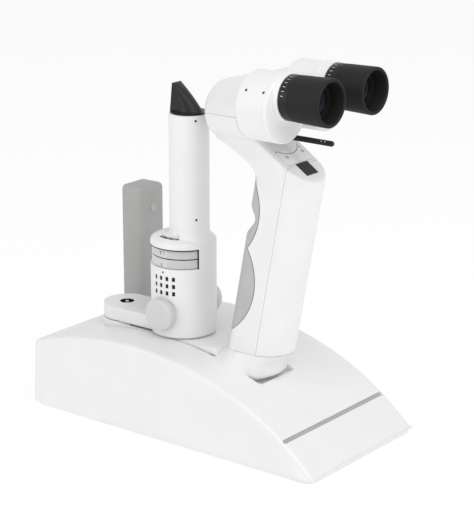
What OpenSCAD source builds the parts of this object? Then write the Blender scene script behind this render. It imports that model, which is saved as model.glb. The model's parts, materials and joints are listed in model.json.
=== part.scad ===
// A hand-held slit lamp standing in its charging stand, with a spare battery.
// Left is -X (the patient's side), +X is towards the eyepieces and the low nose of the stand.
// The origin is on the table under the middle of the stand, and -Y is the near side.

/* [Stand] */
// Length of the charging stand
stand_len = 252; // [246:1:262]
// Width across the top edges of the stand
stand_top_w = 121.5; // [118:0.5:130]
// How much wider the stand is at its foot, on each side
stand_draft = 2.4; // [0.5:0.1:4]
// Height of the crest above the table
crest_z = 64.6; // [60:0.1:75]
// Where the crest lies along the stand
crest_x = -36.5; // [-40:0.5:-30]
// Radius of the long top curve
crest_r = 268.5; // [255:0.5:330]
// Radius of the falling nose curve
nose_r = 201; // [190:1:240]
// Where the nose curve starts
nose_x = 48; // [40:1:60]
// Wall of the stand's shell
stand_wall = 2.6; // [2:0.1:3.2]
// Radius along the top edges
stand_edge_r = 2.6; // [1.5:0.1:4]
// Radius of the stand's upright corners
stand_corner_r = 9; // [6:0.5:12]
// Height of the seam between the shell and the bottom plate
seam_h = 3.4; // [3:0.1:4]
// Height of the rubber feet that show under the bottom plate
foot_h = 0.9; // [0.6:0.1:1.5]
// Radius of a rubber foot
foot_r = 7; // [5:0.5:9]
// Where the indicator groove crosses the top
groove_x = 100.4; // [92:0.1:106]
// Width of the indicator groove
groove_w = 3.2; // [2.5:0.1:5]
// Pitch of the vent slots along both sides of the stand
side_vent_pitch = 10.4; // [9:0.1:14]

/* [Dock] */
// How far the unit stands towards the near side
unit_y = -9.5; // [-11:0.1:-7]
// Depth of the dock floor below the crest
dock_depth = 17; // [15:0.1:18]
// Left end of the dock
dock_x0 = -101.5; // [-103:0.1:-99]
// Where the deep part of the dock begins
dock_step_x = -57; // [-60:0.5:-50]
// Height of the shallow part's floor above the deep part's
dock_step_h = 11.6; // [11:0.1:12.4]
// Half width of the dock
dock_half_w = 20; // [19.8:0.1:22]
// Gap between the foot of the unit and the dock floor
dock_gap = 0.3; // [0.2:0.05:0.4]

/* [Spare battery] */
// Width of a battery
battery_w = 20.2; // [18:0.1:20.5]
// Depth of a battery from its flat back to its curved front
battery_d = 27.4; // [26:0.1:28]
// Height of a battery
battery_h = 106.6; // [98:0.2:108]
// Radius of the curved front
battery_front_r = 13; // [12:0.5:18]
// Middle of the spare battery's well along the stand
well_x = -100.4; // [-102:0.1:-97]
// Flat back of the spare battery
well_back_y = 46.2; // [44:0.1:50]
// Depth of the well's floor above the table
well_floor_z = 46.2; // [44:0.1:50]
// Clearance round the spare battery in its well
well_clear = 0.4; // [0.3:0.05:0.6]

/* [Swing arm] */
// Where the swing pivot stands, under the patient's eye
pivot_x = -79.2; // [-81:0.1:-78]
// Half width of the swing plate
plate_half_w = 17; // [16:0.1:18]
// Thickness of the swing plate
plate_t = 9.8; // [9:0.1:11]
// Radius of the hole in the swing plate
pivot_hole_r = 5.3; // [4.5:0.1:6]
// Radius of the pivot post
post_r = 8; // [7:0.1:9]
// Radial running clearance of shafts and bushes
run_fit = 0.05; // [0.02:0.01:0.08]
// Gap between pieces that move past each other
part_gap = 0.3; // [0.25:0.05:0.5]

/* [Tower] */
// Axis of the tower
tower_x = -25.1; // [-27:0.1:-24]
// Radius of the tower
tower_r = 23.5; // [22:0.1:24]
// Wall of the tower
tower_wall = 2.4; // [2:0.1:3]
// Axis of the light tube
tube_x = -19.3; // [-20:0.1:-18]
// Radius of the light tube
tube_r = 14.2; // [13.5:0.1:15]
// Wall of the light tube
tube_wall = 1.8; // [1.4:0.1:2.4]
// Height of the tube's rim above the dock floor
tube_top = 176.9; // [170:0.1:182]
// Height of the tower's shoulder above the dock floor
shoulder_h = 93.2; // [92:0.1:96]
// Height of the rounded top of the tower below the foot of the tube
dome_drop = 2.6; // [1:0.1:4]
// Height of the dome
dome_h = 6; // [4:0.5:8]
// Lower edge of the dial window above the dock floor
window_h0 = 68.3; // [66:0.1:69]
// Height of the dial window
window_h = 14.4; // [13.5:0.1:15]
// Half angle of the dial window
window_half_a = 67; // [50:1:70]
// Thickness of the tower's skin round the dial rings
dial_wall = 0.9; // [0.8:0.1:1.4]
// Height of the knob axis above the dock floor
knob_h = 35.3; // [33:0.1:37]
// Radius of a knob
knob_r = 11.9; // [10:0.1:12.5]
// Width of a knob
knob_w = 6.2; // [5:0.1:8]
// Radius of the knob shaft
knob_shaft_r = 2.5; // [2:0.1:3]
// Columns of vent holes in the tower
vent_cols = 4; // [2:1:5]
// Rows of vent holes in the tower
vent_rows = 3; // [2:1:4]
// Width of the wedge over the prism
hood_w = 9.6; // [9:0.1:12]
// Height of the hood's top edge above the tube's rim
hood_top = 20.2; // [18:0.1:22]

/* [Grip] */
// Lean of the grip towards the eyepieces, in degrees
grip_lean = 10.7; // [9:0.1:12]
// Half width of the grip
grip_half_w = 18.6; // [18:0.1:19]
// Where the cover seam meets the foot
seam_x0 = 52.9; // [51.5:0.1:54]
// Height of the cover's lower edge above the dock floor
seam_z0 = 18.9; // [18.5:0.1:20]
// Distance from the cover seam forwards to the finger side
grip_front = 28.8; // [27:0.1:30]
// Distance from the cover seam back to the rear of the cover
grip_rear = 16.4; // [16:0.1:18]
// Depth of the finger groove
finger_groove = 5; // [3:0.1:7]
// Height of the finger groove above the dock floor
finger_groove_h = 114.5; // [108:0.5:120]
// Depth of the finger panel
panel_t = 1.8; // [1.4:0.1:2.2]
// Wall of the battery cover
cover_wall = 2; // [1.6:0.1:2.4]
// Width of the seams between outer pieces
seam_gap = 0.3; // [0.2:0.05:0.4]
// Height where the sloping panel would meet the middle of the dial disc
slope_h = 169.6; // [166:0.1:171]
// Slope of the panel under the eyepieces, in degrees
slope_a = 34; // [32:0.5:36]
// Width of the square switch
switch_w = 12.8; // [10:0.1:14]
// Length of the switch down the slope
switch_l = 11.2; // [9:0.1:13]
// How far the switch can be pressed
switch_stroke = 1.4; // [0.8:0.1:2]

/* [Head] */
// Front end of the head, towards the patient
head_nose_x = 3.3; // [2:0.1:5]
// Height of the head's nose above the dock floor
head_nose_h = 184.4; // [183:0.1:186]
// Radius of the round prism housings
drum_r = 23.3; // [22:0.1:23.6]
// Distance of each housing axis from the middle of the unit
drum_y = 23.9; // [23.8:0.1:25]
// Height of the housing axes above the dock floor
drum_h = 196.7; // [195:0.1:199]
// Front face of the housings
drum_x0 = 57.6; // [56:0.1:59]
// Length of the housings
drum_len = 25; // [23:0.1:26]
// How much further out than the housing axis the eyepiece stands
eye_dy = 1.1; // [0.5:0.1:3]
// How much higher than the housing axis the eyepiece stands
eye_dz = 8.2; // [6:0.1:8.6]
// Radius of the rubber eyecup at its rim
cup_r = 16; // [15:0.1:16.5]
// Radius of the dioptre ring
ring_r = 15.3; // [14:0.1:15.5]
// Length of the collar behind the dioptre ring
collar_len = 4.2; // [3:0.1:6]
// Length of the dioptre ring
ring_len = 7; // [6:0.1:9]
// Length of the rubber eyecup
cup_len = 25; // [23:0.1:27]
// Radius of the magnification disc on the sloping panel
disc_r = 15.6; // [13:0.1:16]
// Radius of the magnification lever
lever_r = 1.9; // [1.5:0.1:2.4]
// Length of the magnification lever from its axis
lever_len = 45; // [42:0.5:49]
// Wall of the head shells
head_wall = 2.4; // [2:0.1:2.8]

/* [Hidden] */

round_fn = 96;
hull_fn = 32;
white = [0.93, 0.93, 0.92];
pale = [0.80, 0.80, 0.79];
mid_grey = [0.66, 0.66, 0.65];
dark = [0.13, 0.13, 0.14];
steel = [0.62, 0.62, 0.64];
brass = [0.78, 0.64, 0.34];
glass = [0.60, 0.72, 0.78];
board = [0.16, 0.40, 0.24];

// The stand's top: a long arc and a tighter nose arc that meet tangent to each other.
crest_cz = crest_z - crest_r;
nose_z = crest_cz + sqrt(pow(crest_r, 2) - pow(nose_x - crest_x, 2));
nose_cx = nose_x - nose_r * (nose_x - crest_x) / crest_r;
nose_cz = nose_z - nose_r * (nose_z - crest_cz) / crest_r;
stand_top_half = stand_top_w / 2;
stand_foot_half = stand_top_half + stand_draft;
function top_z(x) = x < nose_x
    ? crest_cz + sqrt(pow(crest_r, 2) - pow(x - crest_x, 2))
    : nose_cz + sqrt(max(1, pow(nose_r, 2) - pow(x - nose_cx, 2)));
top_steps = 34;
top_outline = [for (i = [0:top_steps]) let (x = stand_len * (i / top_steps - 0.5))
    [x, max(seam_h + 1.2, top_z(x))]];
dock_z = crest_z - dock_depth;
// The dock floor runs out through the falling top where the two meet.
dock_x1 = nose_cx + sqrt(pow(nose_r, 2) - pow(dock_z - nose_cz, 2));
foot_x1 = dock_x1 - 1.2;
battery_front_y = well_back_y - battery_d;

// Heights on the unit, above the dock floor.
arm_h = dock_depth - 0.4;
pad_h = arm_h + 1.4;
post_seat = 3.6;
plate_z = pad_h + part_gap;
tower_z = dock_depth + 0.7;
tower_in_r = tower_r - tower_wall;
dial_room_r = tower_r - dial_wall;
dial_r = dial_room_r - part_gap;
dial_t = (window_h - 3 * part_gap) / 2;
aperture_r = tube_x - tower_x;
tube_in_r = tube_r - tube_wall;
web_t = 1.4;
spindle_r = 1.6;
shaft_reach = tower_r + part_gap + knob_w - 0.8;
post_top = plate_z + plate_t - 3.4;

// The unit's outline, seen from the side, as functions of the height above the dock floor.
slope_x0 = 56.3;
disc_h = slope_h - 0.1;
function seam_x(z) = seam_x0 + (z - seam_z0) * tan(grip_lean);
function slope_x(z) = slope_x0 + (slope_h - z) / tan(slope_a);
neck_z = 142.6;
neck_rise = 21;
neck_reach = 31.7;
neck_most = 41.5;
function flare(z) = z < neck_z ? 0 : min(neck_most, neck_reach * pow((z - neck_z) / neck_rise, 2));
function bow(z) = 10 + 23 * pow(min(1, max(0, (z - 158) / 14)), 1.5);
function dip(z) = abs(z - finger_groove_h) < 11.5
    ? finger_groove * (1 + cos(180 * (z - finger_groove_h) / 11.5)) / 2 : 0;
function front_x(z) = seam_x(z) - grip_front + dip(z) - flare(z);
function soft_min(a, b, k) = -k * ln(exp(-a / k) + exp(-b / k));
// How far a rounded end falls back at a distance y from the middle.
function fall(y, half, depth, power) =
    depth * (1 - pow(max(0, 1 - pow(abs(y) / half, power)), 1 / power));
function rear_x(y, z, half) = soft_min(seam_x(z) + grip_rear - fall(y, half, 19, 2),
    slope_x(z) - fall(y, half, 6, 5), 1.2);
side_steps = 16;

// Places of the feet, the screws and the board, kept at their distances from the stand's edges.
foot_xs = [26 - stand_len / 2, stand_len / 2 - 26];
foot_ys = [16 - stand_foot_half, stand_foot_half - 16];
screw_xs = [14 - stand_len / 2, stand_len / 2 - 14];
screw_ys = [33 - stand_foot_half, stand_foot_half - 33];
board_x = 66 - stand_len / 2;

// One ring of the grip at height z, inset all round by d, cut off at x_lo and x_hi.
function ring(z, d, x_lo, x_hi) = let (half = grip_half_w - d)
    concat(
        [for (i = [0:side_steps]) let (y = half * sin(180 * i / side_steps - 90))
            [min(x_hi, max(x_lo, rear_x(y, z, half) - d)), y, z]],
        [for (i = [1:side_steps - 1]) let (y = half * sin(90 - 180 * i / side_steps))
            [min(x_hi, max(x_lo, front_x(z) + d + fall(y, half, bow(z), 2.4))), y, z]]);

grip_z = [seam_z0, 32, 46, 60, 76, 90,
    for (d = [-16, -11, -7, -3.5, 0, 3.5, 7, 11, 16]) finger_groove_h + d,
    142, 147, 151, 153.6];
neck_zs = [156, 158, 160, 162, 164, 166.3, 168.5, 171];
cover_zs = [seam_z0 + seam_gap, 50, 80, 110, 130, 138, 141, 143.5, 146, 148.5, 151, 153.5, 157];

// Drum, eyepiece and lever places.
eye_x0 = drum_x0 + drum_len + collar_len;
cup_x0 = eye_x0 + ring_len;
cup_x1 = cup_x0 + cup_len;
ocular_x = cup_x1 - 11;
seam_tilt = 9.3;
switch_at = 25.2;
switch_t = 4;
panel_room = 0.9;
barrel_floor = drum_len - 2;
changer_x = 33;
changer_h = head_nose_h - 1.5;
changer_r = 8.6;
axle_r = 2;
hub_r = 4.2;
hub_h = 3.2;
rod_h = disc_h + 2.2;
rod_x = slope_x0 + 0.6;
head_seam_h = 191.4;
valley_r = 46;

module loft(rings) {
    n = len(rings[0]);
    m = len(rings);
    pts = [for (r = rings) each r];
    sides = [for (j = [0:m - 2]) for (i = [0:n - 1]) let (k = (i + 1) % n)
        each [[j * n + i, (j + 1) * n + i, (j + 1) * n + k], [j * n + i, (j + 1) * n + k, j * n + k]]];
    polyhedron(pts, concat([[for (i = [0:n - 1]) i]], sides,
        [[for (i = [n - 1:-1:0]) (m - 1) * n + i]]), convexity = 6);
}

module on_dock() translate([0, unit_y, dock_z]) children();
module on_tower() on_dock() translate([tower_x, 0, 0]) children();
module at_drum(side) on_dock() translate([drum_x0, side * drum_y, drum_h]) children();
module at_eye(side) on_dock() translate([0, side * (drum_y + eye_dy), drum_h + eye_dz]) children();
module along_x(x) translate([x, 0, 0]) rotate([0, 90, 0]) children();

module rounded_slab(x0, x1, half_y, r, h) {
    linear_extrude(h) hull() for (x = [x0 + r, x1 - r], y = [-half_y + r, half_y - r])
        translate([x, y]) circle(r, $fn = hull_fn);
}

module battery_outline(grow = 0) {
    side = battery_w / 2;
    arc_a = asin(side / battery_front_r);
    drop = battery_front_r * (1 - cos(arc_a));
    offset(delta = grow) polygon(concat(
        [for (i = [0:12]) let (a = -arc_a + 2 * arc_a * i / 12)
            [battery_front_r * sin(a), battery_front_r * (1 - cos(a))]],
        [[side, battery_d - 1.5], [side - 1.5, battery_d], [1.5 - side, battery_d],
            [-side, battery_d - 1.5]]));
}

module battery_body() {
    hull() {
        translate([0, 0, 1]) linear_extrude(battery_h - 3) battery_outline();
        linear_extrude(battery_h) battery_outline(-1.4);
    }
}

module stand_outline() polygon(concat([[stand_len / 2, seam_h]], [[-stand_len / 2, seam_h]], top_outline));

module charger_shell() {
    color(white) difference() {
        intersection() {
            hull() {
                for (a = [0, 30, 60, 90]) let (half = stand_top_half - stand_edge_r * (1 - sin(a)))
                    translate([0, half, 0]) rotate([90, 0, 0]) linear_extrude(2 * half)
                        offset(delta = -stand_edge_r * (1 - cos(a))) stand_outline();
                translate([-stand_len / 2, -stand_foot_half, seam_h])
                    cube([stand_len, 2 * stand_foot_half, 0.5]);
            }
            rounded_slab(-stand_len / 2, stand_len / 2, stand_foot_half, stand_corner_r, crest_z + 1);
        }
        difference() {
            translate([0, stand_top_half - stand_wall, 0]) rotate([90, 0, 0])
                linear_extrude(stand_top_w - 2 * stand_wall) offset(delta = -stand_wall)
                    polygon(concat([[stand_len / 2, seam_h - 5]], [[-stand_len / 2, seam_h - 5]],
                        top_outline));
            for (f = [[dock_step_x, 0], [dock_x0, dock_step_h]])
                translate([f[0] - stand_wall, unit_y - dock_half_w - stand_wall, dock_z + f[1] - stand_wall])
                    cube([dock_x1 - f[0] + 3 * stand_wall, 2 * (dock_half_w + stand_wall), crest_z]);
            translate([well_x, battery_front_y, well_floor_z - stand_wall])
                linear_extrude(crest_z) battery_outline(well_clear + stand_wall);
        }
        translate([0, unit_y, dock_z])
            rounded_slab(dock_step_x, stand_len, dock_half_w, 1.2, crest_z);
        translate([0, unit_y, dock_z + dock_step_h])
            rounded_slab(dock_x0, stand_len, dock_half_w, 1.2, crest_z);
        translate([well_x, battery_front_y, well_floor_z])
            linear_extrude(crest_z) battery_outline(well_clear);
        groove_cut();
        for (s = [-1, 1]) for (x = [-104:side_vent_pitch:84])
            translate([x, s * (stand_top_half + 0.6), top_z(x) - 7.4]) cube([1.3, 2, 2.8], center = true);
        dock_holes();
        translate([-stand_len / 2 - 1, 30, 20]) rotate([0, 90, 0])
            cylinder(h = stand_wall + 3, r = 3.6, $fn = round_fn);
    }
}

module groove_cut(depth = 1.3, narrow = 0) {
    at = atan((groove_x - nose_cx) / (top_z(groove_x) - nose_cz));
    translate([groove_x, 0, top_z(groove_x)]) rotate([0, at, 0])
        translate([-groove_w / 2 + narrow, -stand_top_half + 1.6 + narrow, -depth])
            cube([groove_w - 2 * narrow, stand_top_w + 4 - 2 * narrow, depth + 3]);
}

module dock_holes() {
    for (x = [-6, 6]) translate([x + 20, unit_y, dock_z - stand_wall - 1])
        cylinder(h = stand_wall + 2, r = 2.6, $fn = round_fn);
    for (x = [-5, 5]) translate([well_x + x, well_back_y - 9, well_floor_z - stand_wall - 1])
        cylinder(h = stand_wall + 2, r = 2, $fn = round_fn);
}

module bottom_plate() {
    color(white) difference() {
        translate([0, 0, foot_h])
            rounded_slab(0.8 - stand_len / 2, stand_len / 2 - 0.8, stand_foot_half - 0.8,
                stand_corner_r, seam_h - foot_h);
        for (x = foot_xs, y = foot_ys) translate([x, y, -1])
            cylinder(h = foot_h + 1.8, r = foot_r + 0.1, $fn = round_fn);
        for (x = screw_xs, y = screw_ys) translate([x, y, -1])
            cylinder(h = 8, r = 1.7, $fn = round_fn);
    }
}

module rubber_feet() {
    color(dark) for (x = foot_xs, y = foot_ys) translate([x, y, 0])
        cylinder(h = foot_h + 0.8, r = foot_r, $fn = round_fn);
}

module base_screws() {
    color(steel) for (x = screw_xs, y = screw_ys) translate([x, y, foot_h + 0.3])
        cylinder(h = seam_h - foot_h - 0.3, r = 1.7, $fn = round_fn);
}

module indicator_strip() {
    color(pale) intersection() {
        groove_cut(1.3, 0.1);
        translate([0, 0, -0.7]) translate([0, stand_top_half - 3, 0]) rotate([90, 0, 0])
            linear_extrude(stand_top_w - 6) stand_outline();
    }
}

module charger_board() {
    color(board) translate([board_x, -48, seam_h]) {
        cube([90, 84, 1.6]);
        translate([20, 20, 1.6]) cube([16, 16, 6]);
        translate([52, 30, 1.6]) cube([12, 24, 9]);
        translate([72, 60, 1.6]) cylinder(h = 14, r = 5, $fn = round_fn);
    }
}

module transformer() {
    color(steel) translate([stand_len / 2 - 66, -24, seam_h]) {
        cube([28, 48, 14]);
        translate([6, 6, 14]) cube([14, 36, 4]);
    }
}

module dock_contacts() {
    color(brass) for (x = [-6, 6]) translate([x + 20, unit_y, dock_z - 8]) {
        cylinder(h = 8 + dock_gap / 2, r = 1.2, $fn = round_fn);
        translate([0, 0, 8 - stand_wall]) cylinder(h = stand_wall - 0.4, r = 2.6, $fn = round_fn);
    }
}

module spare_contacts() {
    color(brass) for (x = [-5, 5]) translate([well_x + x, well_back_y - 9, well_floor_z - 6]) {
        cylinder(h = 6.1, r = 1, $fn = round_fn);
        translate([0, 0, 6 - stand_wall]) cylinder(h = stand_wall - 0.4, r = 2, $fn = round_fn);
    }
}

module power_inlet() {
    color(dark) translate([-stand_len / 2, 30, 20]) rotate([0, 90, 0]) difference() {
        union() {
            cylinder(h = stand_wall + 2, r = 3.6, $fn = round_fn);
            translate([0, 0, stand_wall + 1.2]) cylinder(h = 9, r = 5, $fn = round_fn);
        }
        translate([0, 0, -1]) cylinder(h = 9, r = 2.8, $fn = round_fn);
    }
}

module spare_battery_case() {
    color(mid_grey) difference() {
        translate([well_x, battery_front_y, well_floor_z + dock_gap]) battery_body();
        translate([well_x - battery_w / 2 - 1, battery_front_y + 8.6, well_floor_z - 1])
            cube([1.6, 0.7, battery_h + 3]);
        at_latch() translate([-3.2, -4.3, -5]) cube([6.4, 8.6, 7]);
        translate([well_x, battery_front_y, well_floor_z]) battery_pads(dock_gap + 0.6, 2.1);
    }
}

module battery_pads(h, r) {
    for (x = [-5, 5]) translate([x, battery_d - 9, -0.01]) cylinder(h = h, r = r, $fn = round_fn);
}

module at_latch() {
    translate([well_x + battery_w / 2, battery_front_y + 16, well_floor_z + battery_h - 19])
        rotate([0, 90, 0]) children();
}

module spare_terminals() {
    color(brass) translate([well_x, battery_front_y, well_floor_z + dock_gap + 0.01]) battery_pads(0.5, 2);
}

module spare_latch() {
    color(mid_grey) at_latch() {
        translate([-2.9, -4, -1.8]) cube([5.8, 8, 1.8]);
        difference() {
            cylinder(h = 1.1, r = 3.6, $fn = round_fn);
            translate([2.6, -5, -1]) cube([4, 10, 4]);
            translate([-6.6, -5, -1]) cube([4, 10, 4]);
        }
    }
}

module foot_arm() {
    color(white) on_dock() difference() {
        union() {
            hull() for (z = [dock_step_h + dock_gap]) {
                translate([pivot_x, 0, z]) cylinder(h = arm_h - z, r = plate_half_w, $fn = 48);
                translate([0, 0, z]) rounded_slab(0, 40, 18.8, 4, arm_h - z);
            }
            translate([0, 0, dock_gap]) rounded_slab(dock_step_x + part_gap, 40, 17, 3, dock_step_h + 1);
            translate([pivot_x, 0, arm_h - 1]) cylinder(h = pad_h - arm_h + 1, r = plate_half_w, $fn = 48);
            hull() {
                translate([0, 0, dock_gap]) rounded_slab(10, foot_x1 - 2.2, 17, 13, 0.1);
                translate([0, 0, dock_gap + 2.4]) rounded_slab(6, foot_x1, 18.8, 14, 0.1);
                translate([0, 0, arm_h - 0.5]) rounded_slab(4, foot_x1 - 2, 18.8, 14, 0.1);
                translate([0, 0, seam_z0 - 0.1])
                    linear_extrude(0.1) polygon([for (p = ring(seam_z0, 0, -500, 500)) [p[0], p[1]]]);
            }
        }
        translate([pivot_x, 0, arm_h - post_seat]) cylinder(h = 20, r = post_r, $fn = round_fn);
        for (x = [-6, 6]) translate([x + 20, 0, -1]) cylinder(h = dock_gap + 1.8, r = 3.2, $fn = round_fn);
    }
}

module foot_contacts() {
    color(brass) on_dock() for (x = [-6, 6]) translate([x + 20, 0, dock_gap])
        cylinder(h = 0.8, r = 3.2, $fn = round_fn);
}

module pivot_post() {
    color(steel) on_dock() translate([pivot_x, 0, 0]) {
        difference() {
            translate([0, 0, arm_h - post_seat])
                cylinder(h = post_top - arm_h + post_seat, r = post_r, $fn = round_fn);
            translate([0, 0, arm_h]) cylinder(h = 20, r = pivot_hole_r - 0.2, $fn = round_fn);
        }
        translate([0, 0, arm_h]) cylinder(h = post_top - arm_h, r = 1.2, $fn = round_fn);
    }
}

module head_form(d) {
    difference() {
        hull() {
            translate([16.2, 0, head_nose_h]) scale_ball(16.2 - head_nose_x - d, 21.3 - d, 20.9 - d);
            for (s = [-1, 1]) translate([drum_x0 - 1.6 - d, s * (drum_y + 1.9), drum_h - 1.9])
                rotate([0, 90, 0]) cylinder(h = 1.3, r = drum_r - 2.8 - d, $fn = 48);
        }
        translate([drum_x0, 0, drum_h + drum_r - 11 + valley_r]) rotate([0, 87.6, 0])
            cylinder(h = 120, r = valley_r + d, $fn = 96, center = true);
    }
}

module scale_ball(rx, ry, rz) {
    rings = [for (j = [1:11]) let (e = -90 + 15 * j)
        [for (i = [0:31]) let (a = 360 * i / 32)
            [rx * cos(e) * cos(a), ry * cos(e) * sin(a), rz * sin(e)]]];
    hull() for (r = rings) for (p = r) translate(p) cube(0.01, center = true);
}

module above_seam(gap) {
    translate([drum_x0, 0, head_seam_h + gap]) rotate([0, -seam_tilt, 0])
        translate([-150, -100, 0]) cube([300, 200, 100]);
}

module head_upper() {
    color(white) on_dock() intersection() {
        difference() {
            head_form(0);
            head_form(head_wall);
            along_x(-20) translate([-head_nose_h, 0, 0]) cylinder(h = 40, r = 11, $fn = round_fn);
        }
        above_seam(seam_gap);
    }
}

// Two posts that carry the axle of the magnification drum.
module changer_posts() {
    intersection() {
        head_form(head_wall / 2);
        for (s = [-1, 1]) translate([changer_x - 3.4, s * 21 - 1.5, changer_h - 30])
            cube([6.8, 3, 34]);
    }
}

module head_lower() {
    color(white) on_dock() difference() {
        union() {
            difference() {
                head_form(0);
                head_form(head_wall);
            }
            changer_posts();
        }
        translate([changer_x, 0, changer_h]) rotate([90, 0, 0])
            cylinder(h = 46, r = axle_r + run_fit, $fn = round_fn, center = true);
        at_disc() translate([0, 0, -4]) cylinder(h = 4 + part_gap, r = disc_r + part_gap, $fn = round_fn);
        above_seam(0);
        along_x(-20) translate([-head_nose_h, 0, 0]) cylinder(h = 40, r = 11, $fn = round_fn);
    }
}

module objective_ring() {
    color(dark) on_dock() along_x(head_nose_x + 0.6) translate([-head_nose_h, 0, 0]) difference() {
        cylinder(h = 9, r = 11, $fn = round_fn);
        translate([0, 0, -1]) cylinder(h = 11, r = 9, $fn = round_fn);
    }
}

module objective_lens() {
    color(glass) on_dock() along_x(head_nose_x + 3) translate([-head_nose_h, 0, 0])
        cylinder(h = 4, r = 9, $fn = round_fn);
}

module handle_shell() {
    color(white) on_dock() difference() {
        union() {
            loft(concat([for (z = grip_z) ring(z, 0, -500, seam_x(z) - seam_gap)],
                [for (z = neck_zs) ring(z, 0, 6, 500)]));
            switch_shelf();
        }
        head_form(0);
        at_disc() translate([3, -14.1, -panel_room]) cube([switch_at - 3.4, 28.2, 6]);
        battery_place() linear_extrude(battery_h + 6) battery_outline(0.5);
        switch_cut(part_gap);
        at_disc() translate([0, 0, -4]) cylinder(h = 20, r = disc_r + part_gap, $fn = round_fn);
        finger_region(panel_t);
    }
}

module battery_place() {
    translate([seam_x0 + 12.6, 0, seam_z0 + 6]) rotate([0, grip_lean, 0]) rotate([0, 0, 90]) children();
}

module grip_battery() {
    color(mid_grey) on_dock() battery_place() translate([0, 0, 1]) battery_body();
}

module finger_region(depth) {
    intersection() {
        translate([0, 40, 0]) rotate([90, 0, 0]) linear_extrude(80) {
            lobe(43.4, 45, 9.7);
            lobe(95.2, 43, 15.4);
        }
        difference() {
            loft([for (z = grip_z) ring(z, -1, -500, 500)]);
            loft([for (z = grip_z) ring(z, depth, -500, 500)]);
        }
    }
}

// A round lobe of the finger panel: its middle's height, its radius and its distance from the seam.
module lobe(along, r, from_seam) {
    lean_x = seam_x0 + along * sin(grip_lean) - (from_seam + r) * cos(grip_lean);
    lean_z = seam_z0 + along * cos(grip_lean) + (from_seam + r) * sin(grip_lean);
    translate([lean_x, lean_z]) circle(r, $fn = 72);
}

module finger_panel() {
    color(pale) on_dock() intersection() {
        translate([0, 40, 0]) rotate([90, 0, 0]) linear_extrude(80) offset(delta = -0.2) union() {
            lobe(43.4, 45, 9.7);
            lobe(95.2, 43, 15.4);
        }
        difference() {
            loft([for (z = grip_z) ring(z, 0, -500, seam_x(z) - 2)]);
            loft([for (z = grip_z) ring(z, panel_t, -500, seam_x(z))]);
        }
    }
}

module at_disc() translate([slope_x0, 0, disc_h]) rotate([0, slope_a, 0]) children();

module slope_panel() {
    color(pale) on_dock() difference() {
        at_disc() translate([3.2, -13.8, -panel_room]) cube([switch_at - 3.9, 27.6, panel_room]);
        at_disc() translate([0, 0, -5]) cylinder(h = 20, r = disc_r + part_gap, $fn = round_fn);
        head_form(0);
    }
}

module switch_cut(gap) {
    at_disc() translate([switch_at - gap, -switch_w / 2 - gap, -switch_t - switch_stroke - part_gap])
        cube([switch_l + 2 * gap, switch_w + 2 * gap, 12]);
}

// A shelf that reaches under the cover's roof and carries the switch.
module switch_shelf() {
    at_disc() translate([switch_at - 9, -switch_w / 2, -switch_t - switch_stroke - part_gap - 2.6])
        cube([switch_l + 8, switch_w, 2.6]);
}

module switch_button() {
    color(dark) on_dock() at_disc() translate([switch_at, -switch_w / 2, -switch_t])
        cube([switch_l, switch_w, switch_t]);
}

module behind_seam(gap) {
    translate([seam_x0 + gap / cos(grip_lean), 0, seam_z0]) rotate([0, grip_lean, 0])
        translate([0, -50, -60]) cube([100, 100, 260]);
}

module battery_cover() {
    color(white) on_dock() intersection() {
        difference() {
            loft([for (z = cover_zs) ring(z, 0, 40, 500)]);
            loft([for (z = concat([seam_z0 - 2], [for (i = [1:len(cover_zs) - 1]) cover_zs[i] - cover_wall]))
                ring(z, cover_wall, 36, 500)]);
            switch_cut(3 * part_gap);
        }
        behind_seam(0);
    }
}

module lever_disc() {
    color(pale) on_dock() at_disc() {
        translate([0, 0, -3.4]) cylinder(h = 3.4, r = disc_r, $fn = round_fn);
        difference() {
            cylinder(h = hub_h, r1 = hub_r, r2 = hub_r - 1.6, $fn = round_fn);
            rotate([0, -slope_a, 0]) translate([rod_x - slope_x0 - 0.1, 0, rod_h - disc_h])
                rotate([0, 90, 0]) cylinder(h = 20, r = lever_r + run_fit, $fn = round_fn);
        }
    }
}

module lever_rod() {
    color(dark) on_dock() translate([rod_x, 0, rod_h]) rotate([0, 90, 0]) {
        cylinder(h = lever_len, r = lever_r, $fn = round_fn);
        translate([0, 0, lever_len]) cylinder(h = 1, r1 = lever_r, r2 = lever_r - 0.7, $fn = round_fn);
    }
}

module changer_drum() {
    color(steel) on_dock() translate([changer_x, 0, changer_h]) rotate([90, 0, 0]) {
        difference() {
            cylinder(h = 36, r = changer_r, $fn = round_fn, center = true);
            for (z = [-10, 10]) translate([0, 0, z]) rotate([0, 90, 0])
                cylinder(h = 40, r = 5, $fn = round_fn, center = true);
        }
        for (z = [-22.4, 17.9]) translate([0, 0, z]) cylinder(h = 4.5, r = axle_r, $fn = round_fn);
    }
}

module housing(side) {
    color(white) difference() {
        union() {
            at_drum(side) rotate([0, 90, 0]) rotate_extrude($fn = round_fn)
                polygon([[0, part_gap], [drum_r, part_gap], [drum_r, drum_len - 3.2],
                    [drum_r - 0.7, drum_len - 1.1], [drum_r - 2.4, drum_len], [0, drum_len]]);
            at_eye(side) along_x(drum_x0 + drum_len - 1) rotate_extrude($fn = round_fn)
                polygon([[0, 0], [ring_r + 0.7, 0], [ring_r + 0.4, collar_len + 1 - part_gap],
                    [0, collar_len + 1 - part_gap]]);
        }
        at_drum(side) along_x(-1) cylinder(h = barrel_floor + 1, r = drum_r - 3, $fn = round_fn);
        at_eye(side) along_x(drum_x0) cylinder(h = drum_len + collar_len + 2, r = 9, $fn = round_fn);
        for (x = [6.2, 20.2]) at_drum(side) screw_place(side, x) cylinder(h = 6, r = 0.9, $fn = round_fn);
    }
}

module screw_place(side, x) {
    translate([x, 0, 0]) rotate([side > 0 ? -55.5 : 55.5, 0, 0]) translate([0, 0, drum_r - 2]) children();
}

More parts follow.
